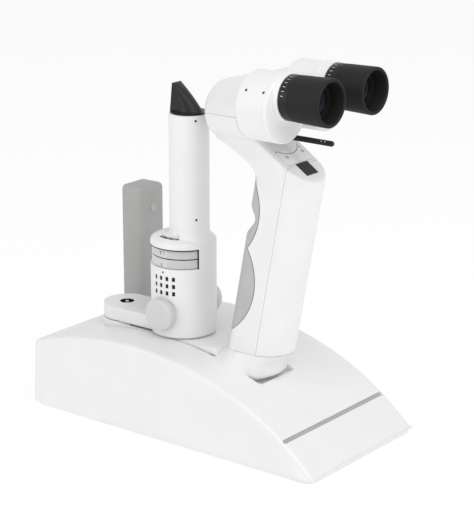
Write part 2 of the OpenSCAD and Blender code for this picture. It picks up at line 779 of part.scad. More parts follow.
module prism_block(side) {
    color(glass) at_drum(side) translate([barrel_floor - 15, side * eye_dy / 2 - 8, -11]) cube([15, 16, 22]);
}

module dioptre_ring(side) {
    color(dark) at_eye(side) along_x(eye_x0) difference() {
        union() {
            cylinder(h = ring_len, r = ring_r, $fn = round_fn);
            translate([0, 0, -collar_len - 1.6])
                cylinder(h = collar_len + 2, r = 9 - run_fit, $fn = round_fn);
            cylinder(h = ring_len + 9, r = 12.4, $fn = round_fn);
        }
        translate([0, 0, -9]) cylinder(h = 40, r = 7.5, $fn = round_fn);
    }
}

module eyecup(side) {
    color(dark) at_eye(side) along_x(cup_x0) rotate_extrude($fn = round_fn)
        polygon([[12.4, 0], [ring_r, 0], [ring_r + 0.1, 0.6], [cup_r, cup_len - 1.2], [cup_r - 0.6, cup_len],
            [cup_r - 1.6, cup_len], [cup_r - 2.4, cup_len - 1.4], [12.6, cup_len - 8], [12.4, 9]]);
}

module ocular(side) {
    color(glass) at_eye(side) along_x(ocular_x - 6) rotate_extrude($fn = round_fn)
        polygon([[0, 0], [7.5, 0], [7.5, 3], [6, 3.7], [4, 4.3], [2, 4.6], [0, 4.7]]);
}

module near_housing() housing(-1);
module near_prism() prism_block(-1);
module near_dioptre_ring() dioptre_ring(-1);
module near_eyecup() eyecup(-1);
module near_ocular() ocular(-1);
module far_housing() housing(1);
module far_prism() prism_block(1);
module far_dioptre_ring() dioptre_ring(1);
module far_eyecup() eyecup(1);
module far_ocular() ocular(1);

module swing_plate() {
    color(white) on_dock() difference() {
        translate([0, 0, plate_z]) linear_extrude(plate_t) hull() {
            translate([pivot_x, 0]) circle(plate_half_w, $fn = round_fn);
            translate([tower_x, 0]) circle(plate_half_w, $fn = round_fn);
        }
        translate([pivot_x, 0, 0]) cylinder(h = 100, r = pivot_hole_r, $fn = round_fn);
        translate([pivot_x, 0, 0]) cylinder(h = post_top + part_gap, r = post_r + run_fit, $fn = round_fn);
        translate([tower_x, 0, 0]) cylinder(h = 100, r = tower_r, $fn = round_fn);
    }
}

module tower_housing() {
    color(white) on_tower() difference() {
        union() {
            rotate_extrude($fn = round_fn) polygon(concat(
                [[0, tower_z], [tower_r - 1, tower_z], [tower_r, tower_z + 1]],
                [for (a = [0:9:90]) [tower_r * pow(cos(a), 0.8),
                shoulder_h - dome_drop - dome_h * (1 - pow(sin(a), 0.8))]]));
            intersection() {
                cylinder(h = 200, r = tower_r - 0.9, $fn = round_fn);
                translate([aperture_r, 0, shoulder_h - dome_drop - 1.6]) rotate_extrude($fn = round_fn)
                    polygon([[0, 0], [tube_r + 2.8, 0], [tube_r + 1.2, 1.9], [tube_r + 0.3, 3.4],
                        [tube_r + 0.1, dome_drop + 1.6], [0, dome_drop + 1.6]]);
            }
        }
        translate([0, 0, tower_z + 3]) cylinder(h = window_h0 - tower_z - 6, r = tower_in_r, $fn = round_fn);
        translate([0, 0, window_h0]) cylinder(h = window_h, r = dial_room_r, $fn = round_fn);
        intersection() {
            translate([0, 0, window_h0]) cylinder(h = window_h, r = tower_r + 5, $fn = round_fn);
            window_wedge();
        }
        translate([aperture_r, 0, window_h0 - 4]) cylinder(h = 50, r = 8, $fn = round_fn);
        translate([aperture_r, 0, shoulder_h - 2]) cylinder(h = 10, r = tube_r - 1, $fn = round_fn);
        for (z = [window_h0 - 2, window_h0 + window_h - 1]) translate([0, 0, z])
            cylinder(h = 3, r = spindle_r, $fn = round_fn);
        vents();
        translate([0, 50, knob_h]) rotate([90, 0, 0])
            cylinder(h = 100, r = knob_shaft_r + run_fit, $fn = round_fn);
        shoulder_slot();
    }
}

module window_wedge() {
    reach = 60;
    linear_extrude(200) polygon(concat([[0, 0]],
        [for (i = [0:8]) let (a = -90 - window_half_a + window_half_a * i / 4)
            [reach * cos(a), reach * sin(a)]]));
}

module vents() {
    for (c = [0:vent_cols - 1], r = [0:vent_rows - 1]) let (a = -87.4 + 12.5 * (c - (vent_cols - 1) / 2))
        rotate([0, 0, a]) translate([tower_r - 2, 0, window_h0 - 7.1 - 5.3 * r])
            cube([8, 2.4, 3.1], center = true);
}

module shoulder_slot() {
    for (a = [-108:4:-64]) rotate([0, 0, a]) translate([tower_r - 5.2, 0, shoulder_h - 5.6])
        cylinder(h = 8, r = 1.1, $fn = 24);
}

module light_tube() {
    color(white) on_tower() translate([aperture_r, 0, 0]) difference() {
        translate([0, 0, shoulder_h - 2]) rotate_extrude($fn = round_fn)
            polygon([[tube_in_r, 0], [tube_r - 1, 0], [tube_r - 1, 2], [tube_r, 2],
                [tube_r, tube_top - shoulder_h + 1.4], [tube_r - 0.6, tube_top - shoulder_h + 2],
                [tube_in_r, tube_top - shoulder_h + 2]]);
        for (z = [shoulder_h + 9.8, tube_top - 3.4]) translate([0, 0, z]) rotate([0, 90, -31.3])
            cylinder(h = 30, r = 0.9, $fn = round_fn);
    }
}

module tube_screws() {
    color(dark) on_tower() translate([aperture_r, 0, 0])
        for (z = [shoulder_h + 9.8, tube_top - 3.4]) translate([0, 0, z]) rotate([0, 90, -31.3])
            translate([0, 0, tube_in_r + 0.3]) cylinder(h = tube_wall - 0.6, r = 0.9, $fn = round_fn);
}

module prism_hood() {
    base = tube_top;
    top = tube_top + hood_top;
    color(dark) on_dock() translate([tube_x, 0, 0]) difference() {
        union() {
            translate([0, 0, base - 6.2]) cylinder(h = 7.8, r = tube_in_r - run_fit, $fn = round_fn);
            translate([0, hood_w / 2, 0]) rotate([90, 0, 0]) linear_extrude(hood_w)
                polygon(concat([[-tube_r + 1.2, base], [-tube_r + 2.4, base + 10.8], [-10.8, top]],
                    [for (i = [1:7]) let (t = i / 7)
                        [-10.8 + 21.8 * t, top - hood_top * (0.62 * t + 0.36 * t * t)]],
                    [[tube_r - 2.6, base]]));
        }
        translate([-6, 0, base - 7.2]) cylinder(h = 16, r = 3, $fn = round_fn);
        translate([-20, -3.2, base + 4.8]) cube([16, 6.4, 8]);
    }
}

module hood_prism() {
    base = tube_top;
    color(glass) on_dock() translate([tube_x - 10.4, 3.1, base + 5]) rotate([90, 0, 0])
        linear_extrude(6.2) polygon([[0, 0], [6.2, 0], [0, 7.4]]);
}

module lamp_socket() {
    color(dark) on_dock() translate([tube_x - 2, 0, 0]) {
        translate([0, 0, tower_z + 3]) cylinder(h = 7, r = 8, $fn = round_fn);
        for (s = [-1, 1]) translate([6.2, s * 6.2, tower_z + 3])
            cylinder(h = window_h0 - tower_z - 24, r = 1.1, $fn = round_fn);
        translate([0, 0, window_h0 - 23]) difference() {
            cylinder(h = 4, r = 9.4, $fn = round_fn);
            translate([0, 0, 2]) cylinder(h = 4, r = 3.2, $fn = round_fn);
        }
    }
}

module lamp_bulb() {
    color(glass) on_dock() translate([tube_x - 2, 0, window_h0 - 21]) {
        cylinder(h = 9, r = 3.2, $fn = round_fn);
        translate([0, 0, 9]) sphere(r = 3.2, $fn = 32);
    }
}

module condenser_lens() {
    color(glass) on_dock() translate([tube_x, 0, window_h0 - 4])
        cylinder(h = 3, r = tube_x - tower_x - spindle_r - part_gap, $fn = round_fn);
}

module slit_plate() {
    color(dark) on_dock() translate([tube_x, 0, window_h0 + window_h + 0.6]) difference() {
        cylinder(h = 1.2, r = 8, $fn = round_fn);
        translate([-0.5, -4, -1]) cube([1, 8, 4]);
        translate([tower_x - tube_x, 0, -1]) cylinder(h = 4, r = spindle_r + run_fit, $fn = round_fn);
    }
}

module tube_lens() {
    color(glass) on_dock() translate([tube_x, 0, tube_top - 40])
        cylinder(h = 5, r = tube_in_r, $fn = round_fn);
}

module dial_spindle() {
    color(steel) on_tower() translate([0, 0, window_h0 - 2])
        cylinder(h = window_h + 4, r = spindle_r, $fn = round_fn);
}

module dial(level, hole_step) {
    base = window_h0 + part_gap + level * (dial_t + part_gap);
    web_z = level == 0 ? dial_t - web_t : 0;
    color(pale) on_tower() difference() {
        translate([0, 0, base]) union() {
            difference() {
                cylinder(h = dial_t, r = dial_r, $fn = round_fn);
                translate([0, 0, -1]) cylinder(h = dial_t + 2, r = dial_r - 2.6, $fn = round_fn);
            }
            translate([0, 0, web_z]) cylinder(h = web_t, r = dial_r - 2, $fn = round_fn);
            translate([0, 0, level == 0 ? 1 : 0]) cylinder(h = dial_t - 1, r = 3, $fn = round_fn);
        }
        translate([0, 0, base - 1]) cylinder(h = dial_t + 2, r = spindle_r + run_fit, $fn = round_fn);
        for (i = [0:5]) rotate([0, 0, 60 * i]) translate([aperture_r * 1.55, 0, base - 1])
            cylinder(h = dial_t + 2, r = 2.6 - hole_step * i, $fn = round_fn);
    }
}

module upper_dial() dial(1, 0.3);
module lower_dial() dial(0, 0.1);

module knob_shaft() {
    color(steel) on_tower() translate([0, shaft_reach, knob_h]) rotate([90, 0, 0])
        cylinder(h = 2 * shaft_reach, r = knob_shaft_r, $fn = round_fn);
}

module knob() {
    rotate([90, 0, 0]) difference() {
        rotate_extrude($fn = round_fn) polygon([[0, 0], [knob_r - 0.8, 0], [knob_r, 0.8],
            [knob_r, knob_w - 1.6], [knob_r - 0.5, knob_w - 0.6], [knob_r - 1.6, knob_w], [0, knob_w]]);
        translate([0, 0, -1]) cylinder(h = knob_w + 0.2, r = knob_shaft_r, $fn = round_fn);
    }
}

module near_knob() {
    color(pale) on_tower() translate([0, -tower_r - part_gap, knob_h]) knob();
}

module far_knob() {
    color(pale) on_tower() translate([0, tower_r + part_gap, knob_h]) rotate([0, 0, 180]) knob();
}

module slit_cam() {
    color(steel) on_tower() translate([0, -8, knob_h]) rotate([90, 0, 0]) difference() {
        translate([1, 0, 0]) cylinder(h = 4, r = 5, $fn = round_fn);
        translate([0, 0, -1]) cylinder(h = 6, r = knob_shaft_r, $fn = round_fn);
    }
}

charger_shell();
bottom_plate();
rubber_feet();
indicator_strip();
charger_board();
transformer();
dock_contacts();
spare_contacts();
base_screws();
power_inlet();
spare_battery_case();
spare_terminals();
spare_latch();
foot_arm();
handle_shell();
finger_panel();
slope_panel();
head_lower();
head_upper();
objective_ring();
objective_lens();
grip_battery();
foot_contacts();
pivot_post();
switch_button();
battery_cover();
lever_disc();
lever_rod();
changer_drum();
near_housing();
near_prism();
near_dioptre_ring();
near_eyecup();
near_ocular();
far_housing();
far_prism();
far_dioptre_ring();
far_eyecup();
far_ocular();
swing_plate();
tower_housing();
light_tube();
tube_screws();
prism_hood();
hood_prism();
lamp_bulb();
lamp_socket();
condenser_lens();
tube_lens();
slit_plate();
dial_spindle();
upper_dial();
lower_dial();
knob_shaft();
near_knob();
far_knob();
slit_cam();
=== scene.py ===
"""The looks of a hand-held slit lamp that stands in its charging stand with a spare battery.

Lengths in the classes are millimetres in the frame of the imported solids; meshes are metres.
"""

from __future__ import annotations

import json
import logging
import math
from dataclasses import dataclass, field
from enum import Enum
from typing import Iterable, Optional, Sequence, Union

import bmesh
import bpy
import numpy as np
from mathutils import Matrix, Vector

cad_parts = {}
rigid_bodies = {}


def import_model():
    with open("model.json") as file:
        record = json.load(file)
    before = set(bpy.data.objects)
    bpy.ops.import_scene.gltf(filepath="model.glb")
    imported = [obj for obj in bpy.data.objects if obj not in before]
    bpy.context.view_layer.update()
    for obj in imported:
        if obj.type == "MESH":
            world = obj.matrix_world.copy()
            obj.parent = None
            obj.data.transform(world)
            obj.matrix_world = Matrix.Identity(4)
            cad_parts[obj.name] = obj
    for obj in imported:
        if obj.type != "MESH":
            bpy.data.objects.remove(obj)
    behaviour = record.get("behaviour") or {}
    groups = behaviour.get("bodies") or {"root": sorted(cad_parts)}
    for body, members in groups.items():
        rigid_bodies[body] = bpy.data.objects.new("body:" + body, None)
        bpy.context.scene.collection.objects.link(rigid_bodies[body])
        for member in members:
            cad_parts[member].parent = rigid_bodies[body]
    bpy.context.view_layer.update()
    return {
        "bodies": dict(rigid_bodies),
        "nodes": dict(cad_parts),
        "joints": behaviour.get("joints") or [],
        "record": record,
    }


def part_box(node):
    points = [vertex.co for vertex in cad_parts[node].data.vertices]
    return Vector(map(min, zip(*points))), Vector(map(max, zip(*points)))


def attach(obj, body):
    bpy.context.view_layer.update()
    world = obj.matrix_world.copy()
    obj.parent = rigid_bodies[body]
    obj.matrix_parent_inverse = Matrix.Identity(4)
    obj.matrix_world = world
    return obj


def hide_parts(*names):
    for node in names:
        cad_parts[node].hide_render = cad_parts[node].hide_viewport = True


LOG = logging.getLogger("slit_lamp")
MM = 0.001
Number = Union[int, float]


# Shader helpers


class Wire:
    """A value socket of a material, usable in plain arithmetic."""

    def __init__(self, shader: "Shader", socket: bpy.types.NodeSocket) -> None:
        """Wraps a socket of a shader."""
        self.shader = shader
        self.socket = socket

    def _maths(self, operation: str, *values: Union["Wire", Number]) -> "Wire":
        """Adds a Math node.

        Args:
            operation: the Math node's operation.
            values: its inputs in order, wires or numbers.

        Returns:
            The node's output.
        """
        node = self.shader.node("ShaderNodeMath", {"operation": operation}, *values)
        return Wire(self.shader, node.outputs[0])

    def __add__(self, other: Union["Wire", Number]) -> "Wire":
        """Sum."""
        return self._maths("ADD", self, other)

    def __mul__(self, other: Union["Wire", Number]) -> "Wire":
        """Product."""
        return self._maths("MULTIPLY", self, other)

    def ramp(self, low: float, high: float) -> "Wire":
        """0 below low, 1 above high, smooth between."""
        node = self.shader.node(
            "ShaderNodeMapRange", {"interpolation_type": "SMOOTHSTEP"}, self, low, high, 0.0, 1.0
        )
        return Wire(self.shader, node.outputs[0])


class Shader:
    """A material with one Principled shader and helpers to wire it."""

    def __init__(self, name: str) -> None:
        """Makes an empty material of that name."""
        self.material = bpy.data.materials.new(name)
        self.material.use_nodes = True
        self.tree = self.material.node_tree
        self.principled = self.tree.nodes["Principled BSDF"]
        self.place = self.node("ShaderNodeTexCoord").outputs["Object"]

    def node(
        self, kind: str, settings: Optional[dict] = None, *values: object, **named: object
    ) -> bpy.types.Node:
        """Adds a node.

        Args:
            kind: the node's type.
            settings: properties that are set first.
            values: values or links of its first inputs, in order; None leaves one alone.
            named: values or links of inputs by name, with _ for a space.

        Returns:
            The new node.
        """
        made = self.tree.nodes.new(kind)
        for key, value in (settings or {}).items():
            setattr(made, key, value)
        pairs = list(zip(made.inputs, values))
        pairs += [(made.inputs[key.replace("_", " ")], value) for key, value in named.items()]
        for socket, value in pairs:
            if value is None:
                continue
            if isinstance(value, Wire):
                value = value.socket
            if isinstance(value, bpy.types.NodeSocket):
                self.tree.links.new(value, socket)
            else:
                socket.default_value = value
        return made

    def noise(self, scale: float, detail: float = 2.0, place: Optional[object] = None) -> Wire:
        """Noise over Object coordinates, 0 to 1, with scale features a metre."""
        made = self.node(
            "ShaderNodeTexNoise", None, Vector=place or self.place, Scale=scale, Detail=detail, Roughness=0.5
        )
        return Wire(self, made.outputs["Fac"])

    def blend(self, factor: Wire, low: Sequence[float], high: Sequence[float]) -> bpy.types.NodeSocket:
        """A colour between two by factor."""
        made = self.node("ShaderNodeMix", {"data_type": "RGBA"})
        self.tree.links.new(factor.socket, made.inputs[0])
        made.inputs[6].default_value = (*low, 1.0)
        made.inputs[7].default_value = (*high, 1.0)
        return made.outputs[2]

    def bump(self, height: Wire, depth_mm: float) -> None:
        """Feeds a bump of that depth to the shader's Normal."""
        made = self.node("ShaderNodeBump", None, Strength=1.0, Distance=depth_mm * MM, Height=height)
        self.set("Normal", made.outputs[0])

    def set(self, name: str, value: object) -> None:
        """Sets or links one socket of the Principled shader."""
        socket = self.principled.inputs[name]
        if isinstance(value, Wire):
            value = value.socket
        if isinstance(value, bpy.types.NodeSocket):
            self.tree.links.new(value, socket)
        else:
            socket.default_value = value


def scaled(colour: Sequence[float], share: float) -> tuple[float, ...]:
    """The colour times a share, kept at 1 or less."""
    return tuple(min(1.0, channel * share) for channel in colour)


# Finishes


@dataclass(frozen=True)
class Moulded:
    """Moulded plastic or rubber: a fine spark-eroded grain, slight mottling and uneven gloss."""

    name: str
    colour: tuple[float, float, float]
    roughness: float = 0.42
    grain: float = 2600.0
    grain_mm: float = 0.012
    mottle: float = 0.03
    coat: float = 0.0
    ior: float = 1.46

    def make(self) -> bpy.types.Material:
        """Builds the material.

        Returns:
            The material, with grain in its normal and mottling in colour and roughness.
        """
        shader = Shader(self.name)
        broad = shader.noise(38.0, 3.0)
        fine = shader.noise(self.grain, 2.0)
        low, high = scaled(self.colour, 1 - self.mottle), scaled(self.colour, 1 + self.mottle)
        shader.set("Base Color", shader.blend(broad.ramp(0.3, 0.7), low, high))
        shader.set("Roughness", broad * 0.08 + fine * 0.06 + (self.roughness - 0.07))
        shader.set("IOR", self.ior)
        shader.set("Coat Weight", self.coat)
        shader.set("Coat Roughness", 0.2)
        shader.bump(fine, self.grain_mm)
        return shader.material


@dataclass(frozen=True)
class Optic:
    """A coated lens: a near-black colour that paints the dark barrel behind the glass as shade, and a painted
    reflection tint of the coating at grazing sight, on a mirror-smooth face.
    """

    name: str
    colour: tuple[float, float, float] = (0.012, 0.014, 0.022)
    tint: tuple[float, float, float] = (0.06, 0.035, 0.09)

    def make(self) -> bpy.types.Material:
        """Builds the material.

        Returns:
            The material; its colour turns towards the painted reflection tint at grazing sight.
        """
        shader = Shader(self.name)
        # painted reflection: the base colour turns to the coating's tint as the face turns away from the
        # camera
        layer = shader.node("ShaderNodeLayerWeight", None, 0.35)
        edge = Wire(shader, layer.outputs["Facing"])
        shader.set("Base Color", shader.blend(edge, self.colour, self.tint))
        shader.set("Roughness", shader.noise(60.0) * 0.02 + 0.03)
        shader.set("IOR", 2.3)
        shader.set("Coat Weight", 1.0)
        shader.set("Coat Roughness", 0.02)
        return shader.material


@dataclass(frozen=True)
class Turned:
    """Turned or drawn metal: fine lines round Z and a bright, slightly uneven face."""

    name: str
    colour: tuple[float, float, float]
    roughness: float = 0.28

    def make(self) -> bpy.types.Material:
        """Builds the material.

        Returns:
            The metal, with fine tool lines in its roughness and normal.
        """
        shader = Shader(self.name)
        stretch = shader.node(
            "ShaderNodeMapping", None, shader.place, (0, 0, 0), (0, 0, 0), (60.0, 60.0, 5200.0)
        )
        lines = shader.noise(1.0, 2.0, stretch.outputs[0])
        shader.set("Base Color", shader.blend(lines, scaled(self.colour, 0.9), scaled(self.colour, 1.08)))
        shader.set("Metallic", 1.0)
        shader.set("Roughness", lines * 0.14 + (self.roughness - 0.07))
        shader.bump(lines, 0.004)
        return shader.material


class Finish(Enum):
    """Every finish of the lamp and its stand."""

    WHITE = Moulded("white_shell", (0.88, 0.88, 0.875), 0.40, 2400.0, 0.010, 0.012, 0.12)
    PALE = Moulded("pale_grey_ring", (0.68, 0.68, 0.675), 0.42, 2400.0, 0.012, 0.02)
    # painted light: a copy of the shell's white, a little lighter, that offsets the drums' shade on the slope
    # panel and the lever disc
    PANEL = Moulded("shade_lifted_white", (0.90, 0.90, 0.895), 0.46, 2400.0, 0.012, 0.012)
    FINGER = Moulded("finger_panel_grey", (0.50, 0.50, 0.495), 0.62, 1500.0, 0.05, 0.03)
    LATCH = Moulded("release_grey", (0.50, 0.50, 0.495), 0.5, 1700.0, 0.02, 0.02)
    BATTERY = Moulded("battery_grey", (0.42, 0.42, 0.415), 0.55, 1700.0, 0.03, 0.03)
    GROOVE = Moulded("groove_grey", (0.42, 0.42, 0.42), 0.35, 2400.0, 0.008, 0.02)
    BLACK = Moulded("black_plastic", (0.009, 0.009, 0.010), 0.40, 2200.0, 0.015, 0.06, 0.0, 1.34)
    RUBBER = Moulded("black_rubber", (0.011, 0.011, 0.012), 0.62, 1400.0, 0.04, 0.08, 0.0, 1.30)
    MARK = Moulded("dark_print", (0.05, 0.05, 0.055), 0.5, 2400.0, 0.004, 0.03)
    # painted shade: dark grey for thin pieces put in gaps and seams where only shade falls
    GAP = Moulded("shadow_gap", (0.16, 0.16, 0.16), 0.7, 2400.0, 0.004, 0.03)
    TICK = Moulded("white_print", (0.72, 0.72, 0.71), 0.5, 2400.0, 0.004, 0.02)
    LENS = Optic("coated_lens")
    STEEL = Turned("turned_steel", (0.58, 0.58, 0.59))
    BRASS = Turned("plated_brass", (0.74, 0.58, 0.30), 0.3)
    BOARD = Moulded("lacquered_board", (0.03, 0.16, 0.08), 0.3, 1800.0, 0.01, 0.1)


MATERIALS: dict[Finish, bpy.types.Material] = {}


def finish_material(finish: Finish) -> bpy.types.Material:
    """The material of a finish, made once."""
    if finish not in MATERIALS:
        MATERIALS[finish] = finish.value.make()
    return MATERIALS[finish]


FINISH_NODES: dict[Finish, tuple[str, ...]] = {
    Finish.WHITE: (
        "charger_shell", "bottom_plate", "foot_arm", "handle_shell", "head_lower", "head_upper",
        "battery_cover", "near_housing", "far_housing", "swing_plate", "tower_housing", "light_tube"),
    Finish.PALE: ("upper_dial", "lower_dial", "near_knob", "far_knob"),
    Finish.BLACK: (
        "power_inlet", "objective_ring", "switch_button", "lever_rod", "pivot_post", "near_dioptre_ring",
        "far_dioptre_ring", "tube_screws", "prism_hood", "lamp_socket"),
    Finish.RUBBER: ("rubber_feet", "near_eyecup", "far_eyecup"),
    Finish.BATTERY: ("spare_battery_case", "spare_latch", "grip_battery"),
    Finish.BRASS: ("dock_contacts", "spare_contacts", "spare_terminals", "foot_contacts"),
    Finish.STEEL: (
        "transformer", "base_screws", "changer_drum", "slit_plate", "dial_spindle", "knob_shaft", "slit_cam"),
    Finish.LENS: (
        "objective_lens", "near_prism", "far_prism", "near_ocular", "far_ocular", "hood_prism", "lamp_bulb",
        "condenser_lens", "tube_lens"),
    Finish.PANEL: ("slope_panel", "lever_disc"),
    Finish.FINGER: ("finger_panel",),
    Finish.GROOVE: ("indicator_strip",),
    Finish.BOARD: ("charger_board",),
}
NODE_FINISH = {node: finish for finish, nodes in FINISH_NODES.items() for node in nodes}


# Mesh helpers


def grid_faces(rows: int, cols: int, wrap: bool) -> np.ndarray:
    """Quads of a grid of rows by cols points; wrap closes each row into a ring."""
    row, col = np.meshgrid(np.arange(rows - 1), np.arange(cols if wrap else cols - 1), indexing="ij")
    nxt = (col + 1) % cols
    quads = np.stack([row * cols + col, row * cols + nxt, (row + 1) * cols + nxt, (row + 1) * cols + col], -1)
    return quads.reshape(-1, 4)


@dataclass
class Surface:
    """Points and faces of one piece, in millimetres, gathered from grids."""

    points: list[np.ndarray] = field(default_factory=list)
    faces: list[list[int]] = field(default_factory=list)
    count: int = 0

    def grid(
        self, points: np.ndarray, wrap: bool = True, caps: tuple[bool, bool] = (False, False)
    ) -> "Surface":
        """Adds a grid of points.

        Args:
            points: rows by columns by 3.
            wrap: whether each row is a closed ring.
            caps: whether the first and last rows are closed with one face.

        Returns:
            This surface.
        """
        rows, cols, _ = points.shape
        self.faces += (grid_faces(rows, cols, wrap) + self.count).tolist()
        if caps[0]:
            self.faces.append((np.arange(cols)[::-1] + self.count).tolist())
        if caps[1]:
            self.faces.append((np.arange(cols) + (rows - 1) * cols + self.count).tolist())
        self.points.append(points.reshape(-1, 3))
        self.count += rows * cols
        return self

    def mesh(self, name: str, solid: bool = True) -> bpy.types.Mesh:
        """Makes the mesh in metres.

        Args:
            name: the mesh's name.
            solid: whether doubles are merged and the faces turned outwards.

        Returns:
            The mesh.
        """
        mesh = bpy.data.meshes.new(name)
        mesh.from_pydata((np.concatenate(self.points) * MM).tolist(), [], self.faces)
        if solid:
            work = bmesh.new()
            work.from_mesh(mesh)
            bmesh.ops.remove_doubles(work, verts=work.verts, dist=2e-6)
            bmesh.ops.recalc_face_normals(work, faces=work.faces)
            work.to_mesh(mesh)
            work.free()
        return mesh


def circle(count: int) -> np.ndarray:
    """Evenly spaced angles once round."""
    return np.linspace(0, 2 * math.pi, count, endpoint=False)


def arc(radius: Union[float, np.ndarray], angle: np.ndarray) -> np.ndarray:
    """Points (x, y) at a radius and at angles."""
    return np.stack([radius * np.cos(angle), radius * np.sin(angle)], -1)


def polar(radius: float, degrees: float, z: float = 0.0) -> np.ndarray:
    """One point at a radius, an angle in degrees and a height."""
    return np.array([*arc(radius, math.radians(degrees)), z])


def at_height(ring: np.ndarray, z: float) -> np.ndarray:
    """The points of a ring, each with the height z added as its last coordinate."""
    return np.column_stack([ring, np.full(len(ring), z)])


def revolve(profile: np.ndarray, count: int = 96) -> np.ndarray:
    """Turns a profile of (along, radius) pairs about the X axis; rows run along it.

    Args:
        profile: pairs of place along X and radius.
        count: points round.

    Returns:
        Grid of points, one ring for each pair.
    """
    angle = circle(count)
    along, radius = profile[:, 0:1], profile[:, 1:2]
    return np.stack(
        [along + 0 * angle[None, :], radius * np.cos(angle)[None, :], radius * np.sin(angle)[None, :]], -1)


def turned(profile: Sequence[Sequence[float]], count: int) -> np.ndarray:
    """Turns a profile of (height, radius) pairs about the Z axis, with count points round."""
    return revolve(np.array(profile), count)[..., [1, 2, 0]]


def closed(rows: np.ndarray, name: str) -> bpy.types.Mesh:
    """The mesh of a form through rings, closed at both ends."""
    return Surface().grid(rows, True, (True, True)).mesh(name)


def node_span(frame: dict, node: str) -> tuple[np.ndarray, np.ndarray]:
    """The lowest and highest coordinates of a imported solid's points, in millimetres."""
    points = np.array([vertex.co for vertex in frame["nodes"][node].data.vertices]) / MM
    return points.min(0), points.max(0)


def rounded(profile: Sequence[Sequence[float]], radii: Sequence[float], steps: int = 5) -> np.ndarray:
    """Rounds the corners of an open profile with arcs.

    Each corner is replaced by points of a quadratic curve between the two tangent points.

    Args:
        profile: corner points.
        radii: setback at each corner, 0 for a sharp one.
        steps: points on each rounded corner.

    Returns:
        The new profile.
    """
    corners = np.asarray(profile, float)
    out = [corners[0]]
    for i in range(1, len(corners) - 1):
        if radii[i] <= 0:
            out.append(corners[i])
            continue
        before, after = corners[i - 1] - corners[i], corners[i + 1] - corners[i]
        reach = min(radii[i], 0.49 * np.linalg.norm(before), 0.49 * np.linalg.norm(after))
        start = corners[i] + before / np.linalg.norm(before) * reach
        end = corners[i] + after / np.linalg.norm(after) * reach
        for t in np.linspace(0, 1, steps):
            out.append((1 - t) ** 2 * start + 2 * t * (1 - t) * corners[i] + t * t * end)
    out.append(corners[-1])
    return np.array(out)


def tube_along(path: np.ndarray, radius: float, sides: int = 6, closed: bool = False) -> np.ndarray:
    """Carries a circle along a path; each ring stands across the path's own direction."""
    ahead = np.roll(path, -1, 0) - np.roll(path, 1, 0) if closed else np.gradient(path, axis=0)
    ahead /= np.linalg.norm(ahead, axis=1, keepdims=True) + 1e-12
    guide = np.array([0.31, 0.17, 0.93])
    side = np.cross(ahead, guide)
    side /= np.linalg.norm(side, axis=1, keepdims=True) + 1e-12
    other = np.cross(ahead, side)
    angle = np.linspace(0, 2 * math.pi, sides, endpoint=False)
    ring = side[:, None, :] * np.cos(angle)[None, :, None] + other[:, None, :] * np.sin(angle)[None, :, None]
    grid = path[:, None, :] + radius * ring
    return np.concatenate([grid, grid[:1]]) if closed else grid


